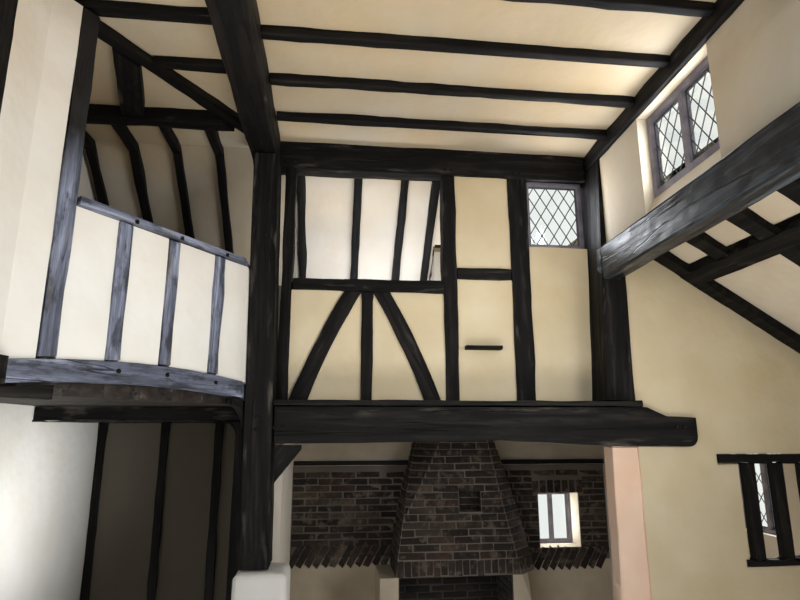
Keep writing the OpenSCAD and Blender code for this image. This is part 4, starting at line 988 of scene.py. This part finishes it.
# %% [markdown]
# ## Leaded lights
#
# Strips of lead, called cames, hold diamonds of glass. Each sheet of glass in the
# solids is one light. Its own width, height and place are read from its mesh, and
# two sets of slanting cames are clipped to it, with a border came all round; the
# small window at the back keeps plain panes.

# %% One came
def came_master():
    "A lead strip 1 m long and 1 m thick with eight sides, which each copy makes slender."
    item = primitive(bpy.ops.mesh.primitive_cylinder_add, vertices=8, radius=0.5, depth=1)
    with edit_mode(item):
        bpy.ops.transform.rotate(value=math.pi / 8, orient_axis="Z", center_override=(0, 0, 0))
    return item


def light_frame(part):
    spots = points(part)
    flat = spots[:, :2] - spots[:, :2].mean(0)
    along = Vector((*np.linalg.eigh(np.cov(flat.T))[1][:, 1], 0))
    reach = spots @ np.array(along)
    middle = Vector(spots.mean(0))
    return middle, along, reach.max() - reach.min(), spots[:, 2].max() - spots[:, 2].min()


def came(middle, along, a, b, width=0.009):
    run = Vector((b[0] - a[0], 0, b[1] - a[1]))
    centre = middle + along * (a[0] + b[0]) / 2 + Z * (a[1] + b[1]) / 2
    way = (along * run.x + Z * run.z).normalized()
    deep = along.cross(Z).normalized()
    return (Matrix.Translation(centre) @ axes_turn(way.cross(deep), deep, -way)
            @ Matrix.Diagonal((width, 0.011, run.length, 1)))


# %% The lattice of a light
PANE_W, PANE_H, SHORTEST_CAME = 0.112, 0.165, 0.03
BORDER_W, BORDER_IN = 0.012, 0.003      # the cames all round are wider


def lattice(middle, along, w, h):
    step, rise = w / max(2, round(w / PANE_W)), h / max(2, round(h / PANE_H))
    places = []
    for sign in (1, -1):
        # each came is z = slope * x + offset, clipped to the light
        slope = sign * rise / step
        reach = abs(slope) * w + h
        offset = -reach
        while offset <= reach:
            ends = [(x, slope * x + offset) for x in (-w / 2, w / 2)]
            ends = [end for end in ends if abs(end[1]) <= h / 2]
            ends += [((z - offset) / slope, z) for z in (-h / 2, h / 2)
                     if abs((z - offset) / slope) < w / 2]
            if len(ends) == 2 and math.dist(*ends) > SHORTEST_CAME:
                places.append(came(middle, along, *ends))
            offset += rise
    x, z = w / 2 - BORDER_IN, h / 2 - BORDER_IN
    border = [((-x, side * z), (x, side * z)) for side in (-1, 1)]
    border += [((side * x, -z), (side * x, z)) for side in (-1, 1)]
    return places + [came(middle, along, a, b, BORDER_W) for a, b in border]


AISLE_FRONT = 1.4     # the small window behind this y has plain panes
places, DAYLIGHT = [], []
for part in loose_parts(merged_copy("window_glass")):
    middle, along, w, h = light_frame(part)
    inwards = -along.cross(Z) if abs(along.x) < 0.5 else -Y
    DAYLIGHT.append((middle, inwards, w, h))
    if middle.y < AISLE_FRONT:
        places += lattice(middle, along, w, h)
    bpy.data.objects.remove(part)
laid("lead_cames", [came_master()], places, "lead")

# %% [markdown]
# ## Window frames
#
# The frames are oak sections under many coats of paint, and paint rounds every
# edge. A copy of the solid gets a bevel of 6 mm in three steps, which catches the
# light as thick paint does. A sharp edge would catch none at all.

# %% Window frames with softened edges
frames = merged_copy("window_frames")
modified(frames, "BEVEL", width=0.006, segments=3, limit_method="ANGLE")
finish_piece(joined([frames], "window_frames_painted"), "painted_frame",
             nodes=["window_frames"])
print("frames:", len(frames.data.polygons), "faces")

# %% [markdown]
# ## Roof tiles
#
# The three roofs are covered with plain clay tiles, 165 by 265 mm, each course
# lapping two below, so that 100 mm of each shows. A real tile is cambered, so the
# head and the tail of the model are pressed down a little. Every tile is laid, and
# none is painted, because a roof is judged by its edge, where the courses step.

# %% Tiles on the three roofs
TILE_W, TILE_L, TILE_T = 0.163, 0.264, 0.012
GAUGE, PITCH_OF_TILE = 0.1, math.radians(5.4)
TILE_STEP, NARROWEST, TILE_LIFT, TAIL_IN = 0.166, 0.4, 0.021, 0.013


def tile_master(seed):
    item = block_master((TILE_W, TILE_L, TILE_T), 0.003, seed, 0.0012)
    with edit_mode(item):
        for y in (-0.06, 0.05):
            bpy.ops.mesh.select_all(action="SELECT")
            bpy.ops.mesh.bisect(plane_co=(0, y, 0), plane_no=Y)
    with edit_mode(item, lambda mesh: [v for v in mesh.vertices if abs(v.co.y) > 0.1]):
        bpy.ops.transform.translate(value=(0, 0, -0.0025))
    return item


def tile_places(roof, chimney, head):
    up, down, across, base, (a0, a1, d0, d1) = slope_of(roof)
    low, high = chimney
    wide = (a1 - a0) / max(1, round((a1 - a0) / TILE_STEP))
    places = []
    for row in range(int((d1 - d0 - head) / GAUGE) + 1):
        tail = d1 - TAIL_IN - row * GAUGE
        start = a0 + (wide / 2 if row % 2 == 0 else wide)
        while start < a1 - wide * NARROWEST:
            centre = base + across * start + down * (tail - TILE_L / 2) + up * TILE_LIFT
            over_roof = roof.ray_cast(centre + Z * 0.3, -Z, distance=0.5)[0]
            if over_roof and not (low.x < centre.x < high.x and low.y < centre.y < high.y):
                jitter = Matrix.Rotation(rng.uniform(-0.012, 0.012), 4, "Z")
                places.append(Matrix.Translation(centre) @ axes_turn(across, -down, up)
                              @ Matrix.Rotation(PITCH_OF_TILE, 4, "X") @ jitter)
            start += wide
    return places


for node, head in (("rear_roof", 0.2), ("aisle_roof", 0.34), ("low_roof", 0.2)):
    laid(node + "_tiles", [tile_master(k) for k in range(4)],
         tile_places(NODES[node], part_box("chimney_stack"), head), "clay_tile")

# %% [markdown]
# ## Lead flashing
#
# Under the clerestory's sill a strip of sheet lead covers the heads of the tiles,
# so that rain can't run in behind them. It is laid in lengths of half a metre and
# dressed down by hand, so it lies in soft waves. Thin blocks with a slow
# displacement give both the lengths and the waves.

# %% Lead flashing under the clerestory
SHEET_L, SHEET_W, SHEET_MIDDLE = 0.5, 0.28, 0.15
up, down, across, base, (a0, a1, d0, d1) = slope_of(NODES["aisle_roof"])
count = round((a1 - a0) / SHEET_L)
length = (a1 - a0) / count
sheets = []
for k in range(count):
    middle = base + across * (a0 + (a1 - a0) * (k + 0.5) / count)
    middle += down * (d0 + SHEET_MIDDLE) + up * 0.006
    if not NODES["aisle_roof"].ray_cast(middle + Z * 0.3, -Z, distance=0.5)[0]:
        continue
    sheet = block_master((length - 0.002, SHEET_W, 0.004), 0.001, k, 0.0)
    cut_bays(sheet, (X, Y), (0.06, 0.05))
    modified(sheet, "DISPLACE", texture=HEWING, texture_coords="LOCAL", direction="Z",
             strength=0.008, mid_level=0.5)
    sheet.data.transform(Matrix.Translation(middle) @ axes_turn(across, -down, up))
    sheets.append(sheet)
finish_piece(joined(sheets, "lead_flashing"), "lead")
print("flashing:", len(sheets), "sheets")

# %% [markdown]
# ## Boards over the hall's ceiling
#
# The hall's own roof isn't part of this bay. Oak boards lie over its ceiling, as
# the floor of the loft would, 200 mm wide and in random lengths. The ceiling isn't
# a rectangle, so each row runs only where a ray from above meets the solid.

# %% Boards over the hall's ceiling
LOFT_BOARD_W, BOARD_LENGTHS, SHORTEST_BOARD = 0.2, (1.2, 2.2), 0.4
SAMPLE, SAW_CUT = 0.02, 0.004
low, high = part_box("hall_ceiling")
rows = round((high.y - low.y) / LOFT_BOARD_W)
wide = (high.y - low.y) / rows


def covered(x, y):
    spot = Vector((x, y, high.z + 0.1))
    return all(NODES["hall_ceiling"].ray_cast(spot + Y * dy, -Z, distance=0.3)[0]
               for dy in (-0.09, 0.09))


places = []
for row in range(rows):
    y = low.y + (row + 0.5) * wide
    xs = [low.x + 0.01 + SAMPLE * k for k in range(int((high.x - low.x) / SAMPLE))]
    xs = [x for x in xs if covered(x, y)]
    x, last = (xs[0] - 0.01, xs[-1] + 0.01) if xs else (0, 0)
    while x < last - 0.02:
        end = min(x + rng.uniform(*BOARD_LENGTHS), last)
        if last - end < SHORTEST_BOARD:
            end = last
        places.append(Matrix.Translation(((x + end) / 2, y, high.z + 0.010))
                      @ Matrix.Diagonal((end - x - SAW_CUT, 1, 1, 1)))
        x = end
board = block_master((1, wide - SAW_CUT, 0.020), 0.002, 3, 0.0)
boards = loose_parts(laid("ceiling_boards", [board], places, "floor_boards"))
for board in boards:
    mark_grain(board, (X, Y, Z))
finish_piece(joined(boards, "ceiling_boards"), "floor_boards")

# %% [markdown]
# ## Undersides and edges of the roofs
#
# From inside, the roof slabs are plaster between the rafters. At the eaves and
# the verge the oak boards under the tiles show. One copy of each slab takes three
# materials, and each face picks one by the way it looks: down is plaster, and
# greyer over the gallery, left of the central post, as painted shade, and all else
# is board.

# %% Plaster and boards of the roof slabs
LOOKS_DOWN = -0.3
gallery_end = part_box("central_post")[1].x
for node, below in (("rear_roof", "white_plaster"), ("aisle_roof", "cream_plaster"),
                    ("low_roof", "cream_plaster"), ("hall_ceiling", "cream_plaster")):
    slab = merged_copy(node)
    if node == "rear_roof":
        with edit_mode(slab):
            bpy.ops.mesh.bisect(plane_co=(gallery_end, 0, 0), plane_no=X)
    finish_piece(slab, below, nodes=[node])
    slab.name = node + "_boards"
    slab.data.materials.append(MATERIALS["weathered_oak"])
    slab.data.materials.append(MATERIALS["shade_painted_plaster"])
    for p in slab.data.polygons:
        p.material_index = 1 if p.normal.z > LOOKS_DOWN else 2 if p.center.x < gallery_end else 0
    mark_grain(slab, (X, Y, Z))
print("finished four slabs")

# %% [markdown]
# ## The landing's floor
#
# The landing is floored with wide boards. The solid is one sheet, so a copy is
# parted every 190 mm, as the joints between boards, and each board is worn on its
# own, with less depth than a beam, because feet keep it flat.

# %% Boards of the landing floor
BOARD_W = 0.19
low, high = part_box("landing_floor")
cuts = [((0, low.y + BOARD_W * k, 0), Y) for k in range(1, int((high.y - low.y) / BOARD_W))]
hewn("landing_floor", cuts, depth=0.003, arris=0.003, step=0.3)
print("landing floor in", len(cuts) + 1, "board widths")

# %% [markdown]
# ## Pegs
#
# The joints of the frame are held by oak pegs, driven through and left a finger's
# breadth proud. A peg is cleft with a knife, so it has eight sides and a
# rounded end. Each is driven where a ray meets the hewn face, so that it sits in
# the timber as it really lies.

# %% Model and place a peg
def peg_master(seed):
    item = primitive(bpy.ops.mesh.primitive_cylinder_add, vertices=8, radius=0.0125, depth=0.04)
    with edit_mode(item):
        bpy.ops.transform.vertex_random(offset=0.0015, seed=seed)
    with edit_mode(item, lambda mesh: [p for p in mesh.polygons if p.normal.z > 0.9]):
        bpy.ops.mesh.bevel(offset=0.003, segments=2, affect="EDGES")
    return item


def peg_place(node, start, way):
    "A peg in the face that a ray from start meets, half of its length in the timber."
    hit, spot, *_ = HEWN[node].ray_cast(Vector(start), way)
    if not hit:
        return []
    turn = Z.rotation_difference(-way).to_matrix().to_4x4()
    spin = Matrix.Rotation(rng.uniform(0, 1.5), 4, "Z")
    return [Matrix.Translation(spot - way * -0.010) @ turn @ spin]


# %% Drive the pegs
IN_FRONT, NEARER, BESIDE = -1.2, -0.6, 1.2      # where the rays start
PEG_SIDE = 0.028      # two pegs hold a stud's joint, this far from its middle
POST_PEGS = {"central_post": (1.70, 1.78, 3.05, 3.30), "right_post": (1.68, 1.78, 2.9, 3.0)}
places = []
for part in loose_parts(merged_copy("wall_studs")):
    x, _, _ = points(part).mean(0)
    top = points(part)[:, 2].max()
    for dx in (-PEG_SIDE, PEG_SIDE):
        places += peg_place("top_plate", (x + dx, NEARER, top + 0.05), Y)
    bpy.data.objects.remove(part)
for part in loose_parts(merged_copy("gallery_studs")):
    spots = points(part)
    x, y, _ = spots.mean(0)
    places += peg_place("gallery_rail", (x + BESIDE, y, spots[:, 2].max() + 0.022), -X)
    places += peg_place("gallery_beam", (x + BESIDE, y, spots[:, 2].min() - 0.05), -X)
    bpy.data.objects.remove(part)
for node, heights in POST_PEGS.items():
    low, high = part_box(node)
    for z in heights:
        places += peg_place(node, ((low.x + high.x) / 2, IN_FRONT, z), Y)
low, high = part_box("mantel_beam")
for x in (low.x + 0.10, low.x + 0.16, high.x - 0.16, high.x - 0.10):
    places += peg_place("mantel_beam", (x, IN_FRONT, (low.z + high.z) / 2), Y)
pegs = laid("pegs", [peg_master(k) for k in range(3)], places, "dark_oak")
mark_grain(pegs, (X, Y, Z))

# %% [markdown]
# ## Floor and sky
#
# The floor and the sky aren't part of the object. Both look white where the
# camera, a reflection or a pane shows them, so that the windows are bright as by
# day, but they light the room only dimly. Light Path tells the two apart. The
# camera sees the floor half way to white, with the shadow still on it.

# %% Floor
FLOOR_DROP, HALF_WHITE = 0.001, 0.55
SEEN = ("Is Transmission Ray", "Is Glossy Ray")
floor = primitive(bpy.ops.mesh.primitive_plane_add, size=60)
floor.name = "floor"
tree, surface = new_material("pale_floor", Base_Color=linear("#d6d5d2"), Roughness=0.9)
camera_ray = add(tree, "LightPath", out="Is Camera Ray")
through = calc(tree, "MULTIPLY", camera_ray, HALF_WHITE)
for kind in SEEN:
    through = calc(tree, "MAXIMUM", through, add(tree, "LightPath", out=kind))
white = add(tree, "Emission", {"Color": (1, 1, 1, 1), "Strength": 1.0})
plain = tree.nodes["Principled BSDF"].outputs[0]
both = add(tree, "MixShader", [through, plain, white])
tree.links.new(both, tree.nodes["Material Output"].inputs["Surface"])
floor.data.materials.append(MATERIALS["pale_floor"])
floor.data.transform(Matrix.Translation((0, 0, -FLOOR_DROP)))
print("the floor lies", FLOOR_DROP * 1000, "mm under the walls")

# %% World: white where it is seen, dim where it lights
ROOM_SKY = 0.4
world = bpy.data.worlds.new("studio")
bpy.context.scene.world = world
world.use_nodes = True
tree = world.node_tree
seen = add(tree, "LightPath", out="Is Camera Ray")
for kind in SEEN:
    seen = calc(tree, "MAXIMUM", seen, add(tree, "LightPath", out=kind))
power = add(tree, "MapRange", {"Value": seen, "To Min": ROOM_SKY, "To Max": 1.0})
sky = tree.nodes["Background"]
sky.inputs["Color"].default_value = (1, 1, 1, 1)
tree.links.new(power, sky.inputs["Strength"])
print("the sky lights at", ROOM_SKY, "and is seen at 1")

# %% [markdown]
# ## Lamps
#
# The room has daylight from many sides, so all lamps are large and soft. The key
# stands in front of the open side at the right, and a weaker fill at the left. A
# lamp on the landing and one that points up from the floor stand in for light
# that bounces from walls and floor, and a small one opens the dark passage. One
# behind the house serves the views from outside, and each pane gives its share of
# daylight.

# %% Lamps
HIGH_WINDOW = 2.5       # windows above this height look at open sky and give more


def soft_light(name, place, target, size, watts, colour, spread=180):
    lamp = bpy.data.lights.new(name, "AREA")
    lamp.shape, lamp.size, lamp.size_y, lamp.energy = "RECTANGLE", *size, watts
    lamp.color = linear(colour)[:3]
    lamp.spread = math.radians(spread)
    item = bpy.data.objects.new(name, lamp)
    item.location = place
    item.rotation_euler = (Vector(target) - Vector(place)).to_track_quat("-Z", "Y").to_euler()
    item.visible_camera = False
    bpy.context.collection.objects.link(item)


soft_light("key", (5.4, -5.2, 2.0), (-0.9, -0.5, 2.3), (2.8, 2.4), 69, "#fdfdff", 100)
soft_light("fill", (-2.6, -7.0, 2.8), (1.6, 0.0, 2.2), (4.0, 3.0), 48, "#f6f8ff", 110)
soft_light("landing", (1.0, 0.66, 2.12), (1.0, 0.98, 3.4), (1.4, 0.36), 15, "#f6f9ff", 130)
soft_light("bounce", (1.2, -2.3, 0.3), (1.2, -2.2, 4.0), (3.4, 1.4), 66, "#fffaf0", 140)
soft_light("passage", (-0.3, -0.6, 0.6), (-1.57, 0.2, 1.35), (0.5, 0.5), 5.5, "#ffffff", 74)
soft_light("back", (-2.5, 9.5, 7.0), (1.2, 1.0, 1.8), (6.0, 4.0), 330, "#fdfbff")
for k, (middle, way, w, h) in enumerate(DAYLIGHT):
    start = middle + way * 0.03
    watts = (35 if middle.z > HIGH_WINDOW else 26) * w * h
    soft_light(f"daylight_{k}", start, start + way, (w * 0.9, h * 0.9), watts, "#f4f8ff")
print(len(bpy.data.lights), "lamps")

# %% [markdown]
# ## Camera
#
# The camera is the one that the photo gives: at a standing eye height of 1.7 m,
# tilted up by 12.6 degrees, and turned 6.6 degrees to the right. Its lens was
# found from the points where the joists, the posts and the beams seem to meet.

# %% Camera
EYE, TILT, LEAN, TURN = (0.47, -4.15, 1.70), 12.62, 0.08, -6.56
lens = bpy.data.cameras.new("camera")
lens.lens, lens.sensor_width, lens.clip_end = 26.0, 36.0, 100.0
camera = bpy.data.objects.new("camera", lens)
camera.location = EYE
camera.rotation_euler = [math.radians(angle) for angle in (90 + TILT, LEAN, TURN)]
bpy.context.collection.objects.link(camera)
bpy.context.scene.camera = camera
bpy.context.scene.view_settings.view_transform = "Standard"
print("camera at", EYE, "with a lens of", lens.lens, "mm")
